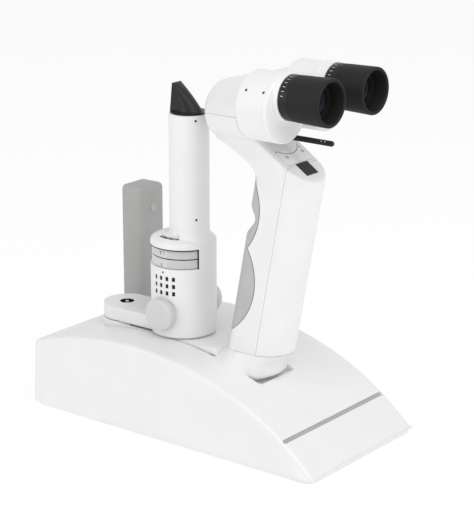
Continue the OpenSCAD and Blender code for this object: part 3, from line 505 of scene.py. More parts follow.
@dataclass
class Workshop:
    """Makes finished pieces and keeps count of them."""

    frame: dict
    made: list[str] = field(default_factory=list)

    def piece(self, name: str, mesh: bpy.types.Mesh, body: str, finish: Finish, nodes: Sequence[str] = (),
              crease: float = 32.0) -> bpy.types.Object:
        """Puts a mesh into the scene as a piece.

        Args:
            name: the piece's name.
            mesh: its mesh, in metres.
            body: the body that it rides on.
            finish: its finish.
            nodes: solids that it stands for.
            crease: edges sharper than this many degrees stay sharp.

        Returns:
            The object.
        """
        obj = bpy.data.objects.new(name, mesh)
        bpy.context.scene.collection.objects.link(obj)
        mesh.materials.clear()
        mesh.materials.append(finish_material(finish))
        mesh.shade_smooth()
        mesh.set_sharp_from_angle(angle=math.radians(crease))
        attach(obj, body)
        if nodes:
            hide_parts(*nodes)
        self.made.append(name)
        LOG.info("piece %s on %s: %d faces", name, body, len(mesh.polygons))
        return obj

    def modified(self, obj: bpy.types.Object) -> bpy.types.Mesh:
        """The object's mesh with its modifiers applied, on the object itself.

        Args:
            obj: an object with live modifiers.

        Returns:
            The new mesh.
        """
        graph = bpy.context.evaluated_depsgraph_get()
        mesh = bpy.data.meshes.new_from_object(obj.evaluated_get(graph))
        obj.modifiers.clear()
        obj.data = mesh
        return mesh

    def bevelled(
        self, mesh: bpy.types.Mesh, width: float, segments: int = 2, limit: float = 35.0
    ) -> bpy.types.Mesh:
        """Rounds a mesh's sharp edges.

        Args:
            mesh: the mesh.
            width: bevel width in millimetres.
            segments: faces across the rounding.
            limit: edges sharper than this many degrees are rounded.

        Returns:
            The rounded mesh.
        """
        obj = bpy.data.objects.new("rounding", mesh)
        bpy.context.scene.collection.objects.link(obj)
        bevel = obj.modifiers.new("bevel", "BEVEL")
        bevel.width = width * MM
        bevel.segments = segments
        bevel.limit_method = "ANGLE"
        bevel.angle_limit = math.radians(limit)
        bevel.use_clamp_overlap = True
        result = self.modified(obj)
        bpy.data.objects.remove(obj)
        return result

    def refined(self, node: str, body: str, finish: Finish, width: float = 0.3, segments: int = 2,
                limit: float = 35.0) -> bpy.types.Object:
        """Replaces a solid by a copy with merged points and rounded edges.

        Args:
            node: the solid's name.
            body: its body.
            finish: its finish.
            width: bevel width in millimetres.
            segments: faces across the rounding.
            limit: edges sharper than this many degrees are rounded.

        Returns:
            The piece.
        """
        mesh = self.frame["nodes"][node].data.copy()
        work = bmesh.new()
        work.from_mesh(mesh)
        bmesh.ops.remove_doubles(work, verts=work.verts, dist=2e-6)
        bmesh.ops.dissolve_limit(work, angle_limit=math.radians(0.6), verts=work.verts, edges=work.edges)
        work.to_mesh(mesh)
        work.free()
        mesh = self.bevelled(mesh, width, segments, limit)
        return self.piece(f"{node}_skin", mesh, body, finish, [node])

    def carved(self, mesh: bpy.types.Mesh, cutters: Iterable[bpy.types.Mesh]) -> bpy.types.Mesh:
        """Cuts closed meshes out of another.

        Args:
            mesh: the mesh to cut.
            cutters: closed meshes.

        Returns:
            The cut mesh.
        """
        obj = bpy.data.objects.new("carving", mesh)
        bpy.context.scene.collection.objects.link(obj)
        extra = []
        for i, cutter in enumerate(cutters):
            tool = bpy.data.objects.new(f"cutter_{i}", cutter)
            bpy.context.scene.collection.objects.link(tool)
            cut = obj.modifiers.new(f"cut_{i}", "BOOLEAN")
            cut.operation = "DIFFERENCE"
            cut.solver = "EXACT"
            cut.object = tool
            extra.append(tool)
        result = self.modified(obj)
        for tool in extra:
            bpy.data.objects.remove(tool)
        bpy.data.objects.remove(obj)
        return result


def box_mesh(low: Sequence[float], high: Sequence[float], turn: Optional[Matrix] = None) -> bpy.types.Mesh:
    """A closed box between two corners in millimetres, optionally turned and moved by a matrix in metres."""
    work = bmesh.new()
    bmesh.ops.create_cube(work, size=1.0)
    low_v, high_v = Vector(low), Vector(high)
    for vert in work.verts:
        vert.co = Vector([low_v[i] + (vert.co[i] + 0.5) * (high_v[i] - low_v[i]) for i in range(3)]) * MM
    mesh = bpy.data.meshes.new("box")
    work.to_mesh(mesh)
    work.free()
    if turn is not None:
        mesh.transform(turn)
    return mesh


# The object's own forms


@dataclass(frozen=True)
class Stand:
    """The charging stand: a long wedge with an arched top, a dock, a battery well and a light groove."""

    length: float = 252.0
    top_half: float = 60.75
    foot_half: float = 63.15
    crest: tuple[float, float, float] = (-36.5, 64.6, 268.5)
    nose: tuple[float, float] = (48.0, 201.0)
    seam: float = 3.4
    corner: float = 3.2
    edge: float = 2.8
    dock: tuple[float, float, float] = (-101.5, 20.0, 59.2)
    dock_deep: tuple[float, float] = (-57.0, 47.6)
    unit_y: float = -9.5
    groove: tuple[float, float, float] = (100.4, 3.2, 1.3)
    well: tuple[float, float] = (-100.4, 18.8)
    above: float = 90.0

    def top(self, x: np.ndarray) -> np.ndarray:
        """Height of the top at x: a long arc, then a tighter nose arc tangent to it."""
        cx, cz, radius = self.crest
        centre = cz - radius
        nx, nr = self.nose
        nz = centre + math.sqrt(radius**2 - (nx - cx) ** 2)
        ncx, ncz = nx - nr * (nx - cx) / radius, nz - nr * (nz - centre) / radius
        return np.where(x < nx, centre + np.sqrt(radius**2 - (x - cx) ** 2),
                        ncz + np.sqrt(np.maximum(1.0, nr**2 - (x - ncx) ** 2)))

    def outline(self, inset: float, half: float, per_side: int = 90) -> np.ndarray:
        """A rounded rectangle in plan as a closed ring of (x, y) points, as many for any inset."""
        radius = max(0.5, self.corner - inset)
        hx, hy = self.length / 2 - inset - radius, half - inset - radius
        quarter = np.linspace(0, math.pi / 2, 13)
        signs = np.array([[1, 1], [-1, 1], [-1, -1], [1, -1]])
        parts = []
        for k, sign in enumerate(signs):
            angle = quarter + k * math.pi / 2
            parts.append(sign * [hx, hy] + arc(radius, angle))
            end = signs[(k + 1) % 4] * [hx, hy] + arc(radius, angle[-1])
            steps = per_side if k % 2 == 0 else 30
            line = np.linspace(0, 1, steps + 2)[1:-1, None]
            parts.append(parts[-1][-1] * (1 - line) + end * line)
        return np.concatenate(parts)

    def skin(self) -> np.ndarray:
        """The stand's outer surface as rings from the seam up over the rounded edge to the top's middle.

        Side rings rise from the seam to a little under the top and lean in with the draft; edge rings follow
        a quarter circle; top rings shrink towards the long axis at the height of the two arcs.
        """
        rings, least = [], self.seam + 0.8
        for share in np.concatenate([[0.0, 0.012], np.linspace(0.04, 1.0, 12)]):
            half = self.foot_half + (self.top_half - self.foot_half) * share
            plan = self.outline(0.45 if share == 0.0 else 0.0, half)
            height = np.maximum(self.top(plan[:, 0]) - self.edge, least)
            rings.append(np.column_stack([plan, self.seam + (height - self.seam) * share]))
        for angle in np.linspace(0, math.pi / 2, 7)[1:]:
            plan = self.outline(self.edge * (1 - math.cos(angle)), self.top_half)
            height = np.maximum(self.top(plan[:, 0]) - self.edge * (1 - math.sin(angle)), least)
            rings.append(np.column_stack([plan, height]))
        rim = self.outline(self.edge, self.top_half)
        axis = rim * [1, 0]
        for share in np.linspace(0, 1, 18)[1:]:
            plan = rim * (1 - share) + axis * share
            rings.append(np.column_stack([plan, np.maximum(self.top(plan[:, 0]), least)]))
        return np.array(rings)

    def dock_tool(self, x0: float, floor: float) -> bpy.types.Mesh:
        """One level of the dock's hollow: a slab with tight upright corners, open through the falling top.

        Args:
            x0: where the hollow starts along x.
            floor: height of its floor.

        Returns:
            The tool.
        """
        half, corner = self.dock[1], 1.2
        angle = np.linspace(0, math.pi / 2, 6)
        left = [(x0 + corner - corner * np.sin(a), half - corner + corner * np.cos(a)) for a in angle]
        ring = np.array([(140.0, half), *left, *[(x, -y) for x, y in left[::-1]], (140.0, -half)])
        ring[:, 1] += self.unit_y
        return closed(np.array([at_height(ring, z) for z in (floor, self.above)]), "dock_tool")

    def well_tool(self) -> bpy.types.Mesh:
        """The spare battery's well: the battery's outline grown by the clearance."""
        plan = battery_outline(0.4) + np.array(self.well)
        return closed(np.array([at_height(plan, z) for z in (46.2, self.above)]), "well_tool")

    def groove_tool(self) -> bpy.types.Mesh:
        """The light groove: a long slot with round ends, square to the falling top."""
        x, width, depth = self.groove
        slope = math.atan2(float(self.top(np.array(x - 1.0)) - self.top(np.array(x + 1.0))), 2.0)
        half = self.top_half - 1.7
        far = arc(width / 2, np.linspace(0, math.pi, 9)) + [0.0, half - width / 2]
        ring = np.concatenate([far, -far])
        mesh = closed(np.array([at_height(ring, z) for z in (-depth, 4.0)]), "groove_tool")
        middle = Matrix.Translation(Vector((x, 0, float(self.top(np.array(x))))) * MM)
        mesh.transform(middle @ Matrix.Rotation(slope, 4, "Y"))
        return mesh

    def inlet_tool(self) -> bpy.types.Mesh:
        """The stepped bore of the power inlet."""
        bore = [[-127.0, 0.0], [-127.0, 3.75], [-122.6, 3.75], [-122.6, 5.3], [-111.0, 5.3], [-111.0, 0.0]]
        return Surface().grid(revolve(np.array(bore), 48) + np.array([0.0, 30.0, 20.0])).mesh("inlet_bore")

    def build(self, shop: Workshop) -> None:
        """Makes the shell and dresses the pieces of the stand."""
        shell = Surface().grid(self.skin(), True, (True, False)).mesh("stand_shell")
        tools = [self.dock_tool(self.dock[0], self.dock[2]), self.dock_tool(*self.dock_deep),
                 self.well_tool(), self.groove_tool(),
                 box_mesh((48.0, -28.6, 44.6), (58.6, 9.6, 60.0)), self.inlet_tool()]
        shell = shop.carved(shell, tools)
        shell = shop.bevelled(shell, 0.45, 2, 40.0)
        shop.piece("stand_shell", shell, "stand", Finish.WHITE, ["charger_shell"], 40.0)
        shop.refined("bottom_plate", "stand", Finish.WHITE, 0.4)
        shop.refined("indicator_strip", "stand", Finish.GROOVE, 0.15)


@dataclass(frozen=True)
class Foot:
    """The unit's foot in the dock: a long arm to the pivot and a boat-shaped end under the grip."""

    arm: tuple[float, float, float] = (11.9, 16.6, 18.0)
    pivot: float = -79.2
    half: float = 17.0
    slab_x: tuple[float, float] = (-56.6, 12.0)
    slab_half: float = 18.6
    root: tuple[float, float, float] = (2.0, 20.0, 18.8)
    strip_x: float = -33.0
    strip_y: tuple[float, float] = (16.2, 16.75)
    line_r: tuple[float, float] = (16.6, 17.07)
    ticks: int = 8
    tick_x: float = -60.2
    tick_pitch: float = 2.6

    @staticmethod
    def slab(x0: float, x1: float, half: float, radius: float) -> np.ndarray:
        """A rounded rectangle in plan as a closed ring of (x, y), one quarter circle after another."""
        quarter = np.linspace(0, math.pi / 2, 14)
        middles = ((x1 - radius, half - radius), (x0 + radius, half - radius),
                   (x0 + radius, radius - half), (x1 - radius, radius - half))
        return np.concatenate(
            [arc(radius, quarter + k * math.pi / 2) + middle for k, middle in enumerate(middles)])

    @staticmethod
    def stack(rows: Iterable[tuple[float, np.ndarray]]) -> Surface:
        """A closed form through rings at rising heights."""
        rings = np.array([at_height(ring, z) for z, ring in rows])
        return Surface().grid(Unit().place(rings), True, (True, True))

    def end_rows(self) -> list[tuple[float, np.ndarray]]:
        """Rings of the end, each met by rays from one middle point so that they have the same count."""
        grip, z = Grip(), 18.9
        y = grip.unit.half * np.sin(np.linspace(-math.pi / 2, math.pi / 2, 90))
        front = grip.front(np.array(z)) + grip.fall(y, grip.unit.half, 10.0, 2.4)
        rear = grip.rear(y, np.full_like(y, z), grip.unit.half)
        top = np.concatenate([np.column_stack([front, y]), np.column_stack([rear, y])[::-1]])
        rings = [(0.6, self.slab(-8, 55.0, 17.4, 9)), (2.0, self.slab(-9, 57.4, 18.5, 10)),
                 (4.4, self.slab(-9, 58.2, 18.9, 10)), (12.0, self.slab(12, 58.6, 19.2, 12)), (18.8, top)]
        middle, angle = np.array([34.0, 0.0]), np.linspace(-math.pi, math.pi, 160, endpoint=False)
        out = []
        for height, ring in rings:
            away = ring - middle
            bearing = np.arctan2(away[:, 1], away[:, 0])
            order = np.argsort(bearing)
            reach = np.interp(angle, bearing[order], np.hypot(*away.T)[order], period=2 * math.pi)
            out.append((height, middle + arc(1.0, angle) * reach[:, None]))
        return out

    def seams(self, shop: Workshop) -> None:
        """Makes painted shade in the gaps under the swing plate: two dark strips and a dark line round the
        pivot's pad.
        """
        _, top, pad = self.arm
        inner, outer = self.strip_y
        end = self.pivot + self.half
        # painted shade: thin dark strips and a dark ring where the swing plate's gap is in shade
        for side, name in ((-1, "near"), (1, "far")):
            strip = np.array([[self.strip_x, side * inner], [self.strip_x, side * outer], [end, side * outer],
                              [end, side * inner]])
            shadow = self.stack([(top - 0.1, strip), (pad - 0.1, strip)]).mesh("seam")
            shop.piece(f"seam_shadow_{name}", shadow, "unit", Finish.GAP)
        inner, outer = self.line_r
        line = turned([[pad - 0.6, inner], [pad - 0.6, outer], [pad - 0.08, outer], [pad - 0.08, inner],
                       [pad - 0.6, inner]], 96)
        line = Unit().place(line + np.array([self.pivot, 0.0, 0.0]))
        shop.piece("pad_seam_shade", Surface().grid(line).mesh("line"), "unit", Finish.GAP)

    def pivot_parts(self, shop: Workshop) -> None:
        """Makes the pin in the pivot post, a black sleeve of painted shade on the wall of its hole and the
        ticks on the swing plate.
        """
        low, high = node_span(shop.frame, "pivot_post")
        middle, crown = (low + high) / 2, high[2]
        roof = node_span(shop.frame, "swing_plate")[1][2]
        axis = np.array([middle[0], middle[1], 0.0])
        pin = turned([[crown - 2.0, 0], [crown - 2.0, 1.3], [crown + 3.4, 1.3], [crown + 3.4, 0]], 24)
        shop.piece("pivot_pin", Surface().grid(pin + axis).mesh("pin"), "unit", Finish.PALE)
        # painted shade: a black sleeve inside the plate's hole round the pivot
        wall = turned([[crown + 0.5, 5.0], [crown + 0.5, 5.28], [roof - 0.25, 5.28], [roof - 0.25, 5.0],
                       [crown + 0.5, 5.0]], 48)
        shop.piece("pivot_hole_shade", Surface().grid(wall + axis).mesh("wall"), "swing", Finish.BLACK)
        ticks, x, z = Surface(), self.tick_x, roof + 0.02
        for step in range(self.ticks):
            y, long = middle[1] - 9.6 + self.tick_pitch * step, 2.4 if step % 2 else 3.6
            ticks.grid(np.array([[[x, side, z], [x + long, side, z]] for side in (y, y + 0.3)]), False)
        shop.piece("plate_ticks", ticks.mesh("ticks", False), "swing", Finish.LATCH)

    def build(self, shop: Workshop) -> None:
        """Makes the painted shade in the foot's seams and the pivot's parts and marks, then the foot from its
        arm, low slab, pivot pad and end.
        """
        self.seams(shop)
        self.pivot_parts(shop)
        low, top, pad = self.arm
        near, far, half = self.root
        at_pivot = np.array([self.pivot, 0.0])
        plan = np.concatenate([arc(self.half, np.linspace(math.pi / 2, 3 * math.pi / 2, 40)) + at_pivot,
                               [[near, -half], [far, -half], [far, half], [near, half]]])
        round_pad = arc(self.half, circle(72)) + at_pivot
        slab = self.slab(*self.slab_x, self.slab_half, 3)
        forms = [[(low, plan), (top, plan)], [(0.4, slab), (11.8, slab)],
                 [(top - 0.5, round_pad), (pad, round_pad)], self.end_rows()]
        work = Surface()
        for rows in forms:
            part = self.stack(rows)
            work.faces += [[index + work.count for index in face] for face in part.faces]
            work.points += part.points
            work.count += part.count
        mesh = shop.bevelled(work.mesh("foot"), 0.35, 2, 40.0)
        shop.piece("foot_skin", mesh, "unit", Finish.WHITE, ["foot_arm"], 40.0)


@dataclass(frozen=True)
class Spare:
    """The spare battery in its well: a softly bowed case with one fine line, and the raised release mark."""

    well: tuple[float, float, float] = (-100.4, 18.8, 46.5)
    half: float = 10.1
    depth: float = 27.4
    height: float = 106.3
    mark_r: float = 3.1
    mark_half: float = 2.4

    def plan(self, inset: float) -> np.ndarray:
        """Plan of the case: a front bow tangent to the sides, flat sides and a back with tight corners."""
        angle = np.linspace(-math.pi / 2, math.pi / 2, 121)
        side = self.half - inset
        front = np.stack([side * np.sign(np.sin(angle)) * np.abs(np.sin(angle)) ** 0.85,
                          inset + (6.0 - inset) * (1 - np.cos(angle) ** 0.9)], -1)
        front[:, 1] += 0.4 * np.exp(-(((front[:, 0] + 6.3) / 0.28) ** 2))
        turn = np.linspace(0, math.pi / 2, 6)
        right = np.stack([side - 1.5 + 1.5 * np.cos(turn), self.depth - inset - 1.5 + 1.5 * np.sin(turn)], -1)
        left = np.stack([-right[::-1, 0], right[::-1, 1]], -1)
        return np.concatenate([front, right, left]) + np.array(self.well[:2])

    def build(self, shop: Workshop) -> None:
        """Makes the case and the release mark, a ring open at its rear with a square behind it."""
        base, tall = self.well[2], self.height
        levels = [(0.6, 0), (0, 0.8), *[(0, z) for z in np.linspace(4, tall - 3.6, 12)], (0.25, tall - 2.2),
                  (0.8, tall - 1.1), (1.7, tall - 0.35), (2.9, tall)]
        case = closed(np.array([at_height(self.plan(inset), base + z) for inset, z in levels]), "case")
        shop.piece("spare_case_skin", case, "spare", Finish.BATTERY, ["spare_battery_case"], 50.0)
        angle = np.radians(np.linspace(40, 320, 44))
        x, y, z = self.well[0] + self.half + 0.15, self.well[1] + 16.0, base + tall - 17.2
        round_y, round_z = arc(self.mark_r, angle).T
        path = np.stack([np.full(len(angle), x), y + round_y, z + round_z], -1)
        mark = Surface().grid(tube_along(path, 0.75, 12))
        square = np.array([[-1, -1], [1, -1], [1, 1], [-1, 1]]) * self.mark_half
        mark.grid(np.array([[[x + deep, y + a, z + b] for a, b in square] for deep in (-1.2, 0.05)]),
                  True, (True, True))
        shop.piece("spare_mark", mark.mesh("mark"), "latch", Finish.LATCH, ["spare_latch"], 50.0)


def battery_outline(grow: float) -> np.ndarray:
    """Plan of a battery: a curved front at low y, flat sides and back, grown by a clearance.

    Args:
        grow: how far the outline is grown.

    Returns:
        Closed ring of (x, y), front middle at (0, 0).
    """
    side, depth, radius, corner = 10.1, 27.4, 13.0, 1.5
    bow = math.asin(side / radius)
    angle = np.linspace(-bow, bow, 24)
    front = np.stack([(radius + grow) * np.sin(angle), radius - (radius + grow) * np.cos(angle)], -1)
    front[:, 0] = np.clip(front[:, 0] * (side + grow) / front[-1, 0], -(side + grow), side + grow)
    back = np.array([[side + grow, depth - corner], [side - corner + grow, depth + grow],
                     [corner - side - grow, depth + grow], [-side - grow, depth - corner]])
    return np.concatenate([front, back])


@dataclass(frozen=True)
class Unit:
    """Sizes of the hand-held unit that several of its sub-assemblies share, above the dock floor."""

    floor: float = 47.6
    mid_y: float = -9.5
    lean: float = math.radians(10.7)
    seam: tuple[float, float] = (52.9, 18.9)
    half: float = 18.6
    slope_x: float = 56.3
    slope_h: float = 169.6
    slope: float = math.radians(34.0)

    def place(self, points: np.ndarray) -> np.ndarray:
        """Moves points from the unit's own middle and dock floor into the frame."""
        return points + np.array([0.0, self.mid_y, self.floor])

    def seam_x(self, z: np.ndarray) -> np.ndarray:
        """Where the cover seam lies at height z: a straight leaning line."""
        return self.seam[0] + (z - self.seam[1]) * math.tan(self.lean)

    def slope_at(self, z: np.ndarray) -> np.ndarray:
        """Where the sloping top lies at height z."""
        return self.slope_x + (self.slope_h - z) / math.tan(self.slope)

    def slope_matrix(self) -> Matrix:
        """Takes the slope's own axes (along, across, out) in metres to the frame, from the disc's middle."""
        move = Matrix.Translation(Vector((self.slope_x, self.mid_y, self.slope_h - 0.1 + self.floor)) * MM)
        return move @ Matrix.Rotation(self.slope, 4, "Y")


@dataclass(frozen=True)
class Grip:
    """The leaning grip: the moulded handle, its finger panel and the battery cover behind the seam."""

    unit: Unit = Unit()
    front_reach: float = 28.8
    rear_reach: float = 16.4
    groove: tuple[float, float, float] = (5.0, 114.5, 11.5)
    neck: tuple[float, float, float, float] = (142.6, 21.0, 31.7, 41.5)
    gap: float = 0.3
    lobes: tuple[tuple[float, float, float], ...] = ((43.4, 45.0, 9.7), (95.2, 43.0, 15.4))

    def front(self, z: np.ndarray) -> np.ndarray:
        """Front of the grip at height z: a leaning line with the finger groove's dip and the neck's flare."""
        depth, middle, half = self.groove
        dip = depth * (1 + np.cos(np.pi * (z - middle) / half)) / 2
        dip = np.where(np.abs(z - middle) < half, dip, 0.0)
        start, rise, reach, most = self.neck
        flare = np.minimum(most, reach * np.maximum(0, (z - start) / rise) ** 2)
        return self.unit.seam_x(z) - self.front_reach + dip - flare

    @staticmethod
    def bow(z: float) -> float:
        """Depth of the rounded front at height z: even on the grip, then growing to a pointed neck."""
        return 10.0 + 23.0 * min(1.0, max(0.0, (z - 158.0) / 14.0)) ** 1.5

    @staticmethod
    def fall(y: np.ndarray, half: float, depth: float, power: float) -> np.ndarray:
        """How far a rounded end falls back at y: a superellipse of that depth and power."""
        inside = np.maximum(0.0, 1 - np.minimum(1.0, np.abs(y) / half) ** power)
        return depth * (1 - inside ** (1 / power))

    def rear(self, y: np.ndarray, z: np.ndarray, half: float) -> np.ndarray:
        """Rear of the grip: the soft minimum of the leaning elliptic back and the sloping top."""
        back = self.unit.seam_x(z) + self.rear_reach - self.fall(y, half, 19.0, 2.0)
        top = self.unit.slope_at(z) - self.fall(y, half, 6.0, 5.0)
        low = np.minimum(back, top)
        return low - 1.2 * np.log1p(np.exp(-np.abs(back - top) / 1.2))

    def crossing(self, z: np.ndarray, limit: np.ndarray, half: float) -> np.ndarray:
        """The y at which the rear comes forward to a limit, by halving between the middle and the side."""
        low, high = np.zeros_like(z), np.full_like(z, half)
        for _ in range(40):
            middle = (low + high) / 2
            beyond = self.rear(middle, z, half) > limit
            low, high = np.where(beyond, middle, low), np.where(beyond, high, middle)
        return np.where(self.rear(np.zeros_like(z), z, half) > limit, low, 0.0)

    def handle_rows(self) -> np.ndarray:
        """Rings of the handle at rising heights: seam face, sides and the rounded front."""
        z = np.concatenate([[18.9, 19.25], np.linspace(20, 100, 54), np.linspace(101, 131, 61),
                            np.linspace(132, 150, 37), np.linspace(150.4, 155.6, 27),
                            np.linspace(156, 171, 41)])
        half = self.unit.half - np.where(z < 19.2, 0.3, 0.0)
        limit = self.unit.seam_x(z) - self.gap
        cross = np.array([self.crossing(z[i:i + 1], limit[i:i + 1], half[i])[0] for i in range(len(z))])
        rings = []
        turn = np.linspace(0, 1, 13)
        for zi, hi, li, yc in zip(z, half, limit, cross):
            flat = yc * np.linspace(-1, 1, 9)
            flat_x = np.minimum(self.rear(flat, np.full(9, zi), hi), li)
            start = math.asin(min(1.0, yc / hi))
            out = hi * np.sin(start + (math.pi / 2 - start) * turn[1:])
            out_x = np.minimum(self.rear(out, np.full(12, zi), hi), li)
            angle = np.linspace(math.pi / 2, -math.pi / 2, 65)
            bow = hi * np.sin(angle)
            bow_x = self.front(np.array(zi)) + self.fall(bow, hi, self.bow(zi), 2.4)
            side = np.linspace(0, 1, 12)[1:-1]
            side_x = out_x[-1] + (bow_x[0] - out_x[-1]) * side
            x = np.concatenate([flat_x, out_x, side_x, bow_x, side_x[::-1], out_x[::-1]])
            y = np.concatenate([flat, out, np.full(10, hi), bow, np.full(10, -hi), -out[::-1]])
            rings.append(np.column_stack([x, y, np.full(len(x), zi)]))
        return np.array(rings)

    def cover_grid(self) -> np.ndarray:
        """The cover's outer face: columns across y, each rising from the foot over the top to the seam."""
        edge = math.sqrt(1 - (1 - self.rear_reach / 19.0) ** 2) * self.unit.half - 0.001
        y = edge * np.sin(np.linspace(-math.pi / 2, math.pi / 2, 73))
        low, high = np.full_like(y, 140.0), np.full_like(y, 158.0)
        for _ in range(40):
            middle = (low + high) / 2
            beyond = self.rear(y, middle, self.unit.half) > self.unit.seam_x(middle)
            low, high = np.where(beyond, middle, low), np.where(beyond, high, middle)
        share = np.concatenate([np.linspace(0, 0.84, 40), np.linspace(0.845, 1.0, 48)])
        z = 19.25 + (high[None, :] - 19.25) * share[:, None]
        yy = np.broadcast_to(y, z.shape)
        x = np.maximum(self.rear(yy, z, self.unit.half), self.unit.seam_x(z))
        return np.stack([x, yy, z], -1)

    def panel_edge(self, z: np.ndarray) -> np.ndarray:
        """How far back the finger panel reaches at height z: the right side of two overlapping lobes."""
        sine, cosine = math.sin(self.unit.lean), math.cos(self.unit.lean)
        reach = np.full_like(z, -1e3)
        for along, radius, from_seam in self.lobes:
            cx = self.unit.seam[0] + along * sine - (from_seam + radius) * cosine
            cz = self.unit.seam[1] + along * cosine + (from_seam + radius) * sine
            inside = radius**2 - (z - cz) ** 2
            reach = np.where(inside > 0, np.maximum(reach, cx + np.sqrt(np.maximum(inside, 0))), reach)
        return reach

    def panel_rows(self, proud: float, shrink: float = 0.0) -> np.ndarray:
        """The finger panel's face: rows across the front from one round edge to the other, a little proud."""
        z = np.linspace(20.0, 150.0, 1400)
        shown = z[self.panel_edge(z) - shrink > self.front(z) + 0.02]
        z = np.linspace(shown[0], shown[-1], 190)
        half = self.unit.half + proud
        reach = np.maximum(self.panel_edge(z) - shrink, self.front(z) + 0.003)
        share = np.clip((reach - self.front(z)) / 10.0, 0, 1)
        y_edge = half * (1 - (1 - share) ** 2.4) ** (1 / 2.4)
        rows = []
        for zi, ri, yi in zip(z, reach, y_edge):
            bow = yi * np.sin(np.linspace(-math.pi / 2, math.pi / 2, 61))
            bow_x = self.front(np.array(zi)) + self.fall(bow, half, 10.0, 2.4) - proud
            extra = np.linspace(max(ri, bow_x[0]), bow_x[0], 9)[:-1]
            x = np.concatenate([extra, bow_x, extra[::-1]])
            y = np.concatenate([np.full(8, -yi), bow, np.full(8, yi)])
            rows.append(np.column_stack([x, y, np.full(len(x), zi)]))
        return np.array(rows)

    def build(self, shop: Workshop) -> None:
        """Makes the handle, the finger panel with a dark line of painted shade in its gap, and the cover."""
        place = self.unit.place
        handle = Surface().grid(place(self.handle_rows()), True, (True, True)).mesh("handle")
        tools = [
            box_mesh((-14, -14.1, -0.9), (24.9, 14.1, 6), self.unit.slope_matrix()),
            box_mesh((24.9, -6.7, -5.7), (36.7, 6.7, 6), self.unit.slope_matrix()),
        ]
        handle = shop.carved(handle, tools)
        handle = shop.bevelled(handle, 0.4, 3, 50.0)
        shelf = box_mesh((16.2, -6.4, -8.3), (35.4, 6.4, -5.75), self.unit.slope_matrix())
        shop.piece("handle_skin", handle, "unit", Finish.WHITE, ["handle_shell"], 40.0)
        shop.piece("switch_shelf", shelf, "unit", Finish.WHITE)
        panel = self.thick(shop, Surface().grid(place(self.panel_rows(0.18)), False).mesh("panel"), 1.2)
        shop.piece("finger_panel_skin", panel, "unit", Finish.FINGER, ["finger_panel"], 50.0)
        # painted shade: a thin dark tube along the finger panel's edge, where the gap falls in shade
        rows = place(self.panel_rows(0.02, -0.25))
        edge = np.concatenate([rows[:, 0], rows[-1, 1:-1], rows[::-1, -1], rows[0, -2:0:-1]])
        step = np.linalg.norm(np.diff(edge, axis=0, append=edge[:1]), axis=1)
        edge = edge[step > 0.05]
        gap = Surface().grid(tube_along(edge, 0.24, 6, True)).mesh("panel_gap")
        shop.piece("finger_panel_gap_shade", gap, "unit", Finish.GAP)
        cover = self.thick(shop, Surface().grid(place(self.cover_grid()), False).mesh("cover"), 2.0)
        cut = box_mesh((20.0, -6.7, -8.0), (36.7, 6.7, 6), self.unit.slope_matrix())
        cover = shop.carved(cover, [cut])
        cover = shop.bevelled(cover, 0.35, 3, 50.0)
        shop.piece("cover_skin", cover, "cover", Finish.WHITE, ["battery_cover"], 40.0)

    @staticmethod
    def thick(shop: Workshop, mesh: bpy.types.Mesh, thickness: float) -> bpy.types.Mesh:
        """Gives an open face a wall inwards.

        Args:
            shop: the workshop.
            mesh: the face.
            thickness: wall in millimetres.

        Returns:
            The closed wall.
        """
        middle = np.mean([v.co for v in mesh.vertices], axis=0)
        work = bmesh.new()
        work.from_mesh(mesh)
        bmesh.ops.remove_doubles(work, verts=work.verts, dist=2e-6)
        bmesh.ops.recalc_face_normals(work, faces=work.faces)
        facing = sum((face.calc_center_median() - Vector(middle)).dot(face.normal) * face.calc_area()
                     for face in work.faces)
        if facing < 0:
            bmesh.ops.reverse_faces(work, faces=work.faces)
        work.to_mesh(mesh)
        work.free()
        obj = bpy.data.objects.new("wall", mesh)
        bpy.context.scene.collection.objects.link(obj)
        solid = obj.modifiers.new("wall", "SOLIDIFY")
        solid.thickness = thickness * MM
        solid.offset = -1.0
        result = shop.modified(obj)
        bpy.data.objects.remove(obj)
        return result


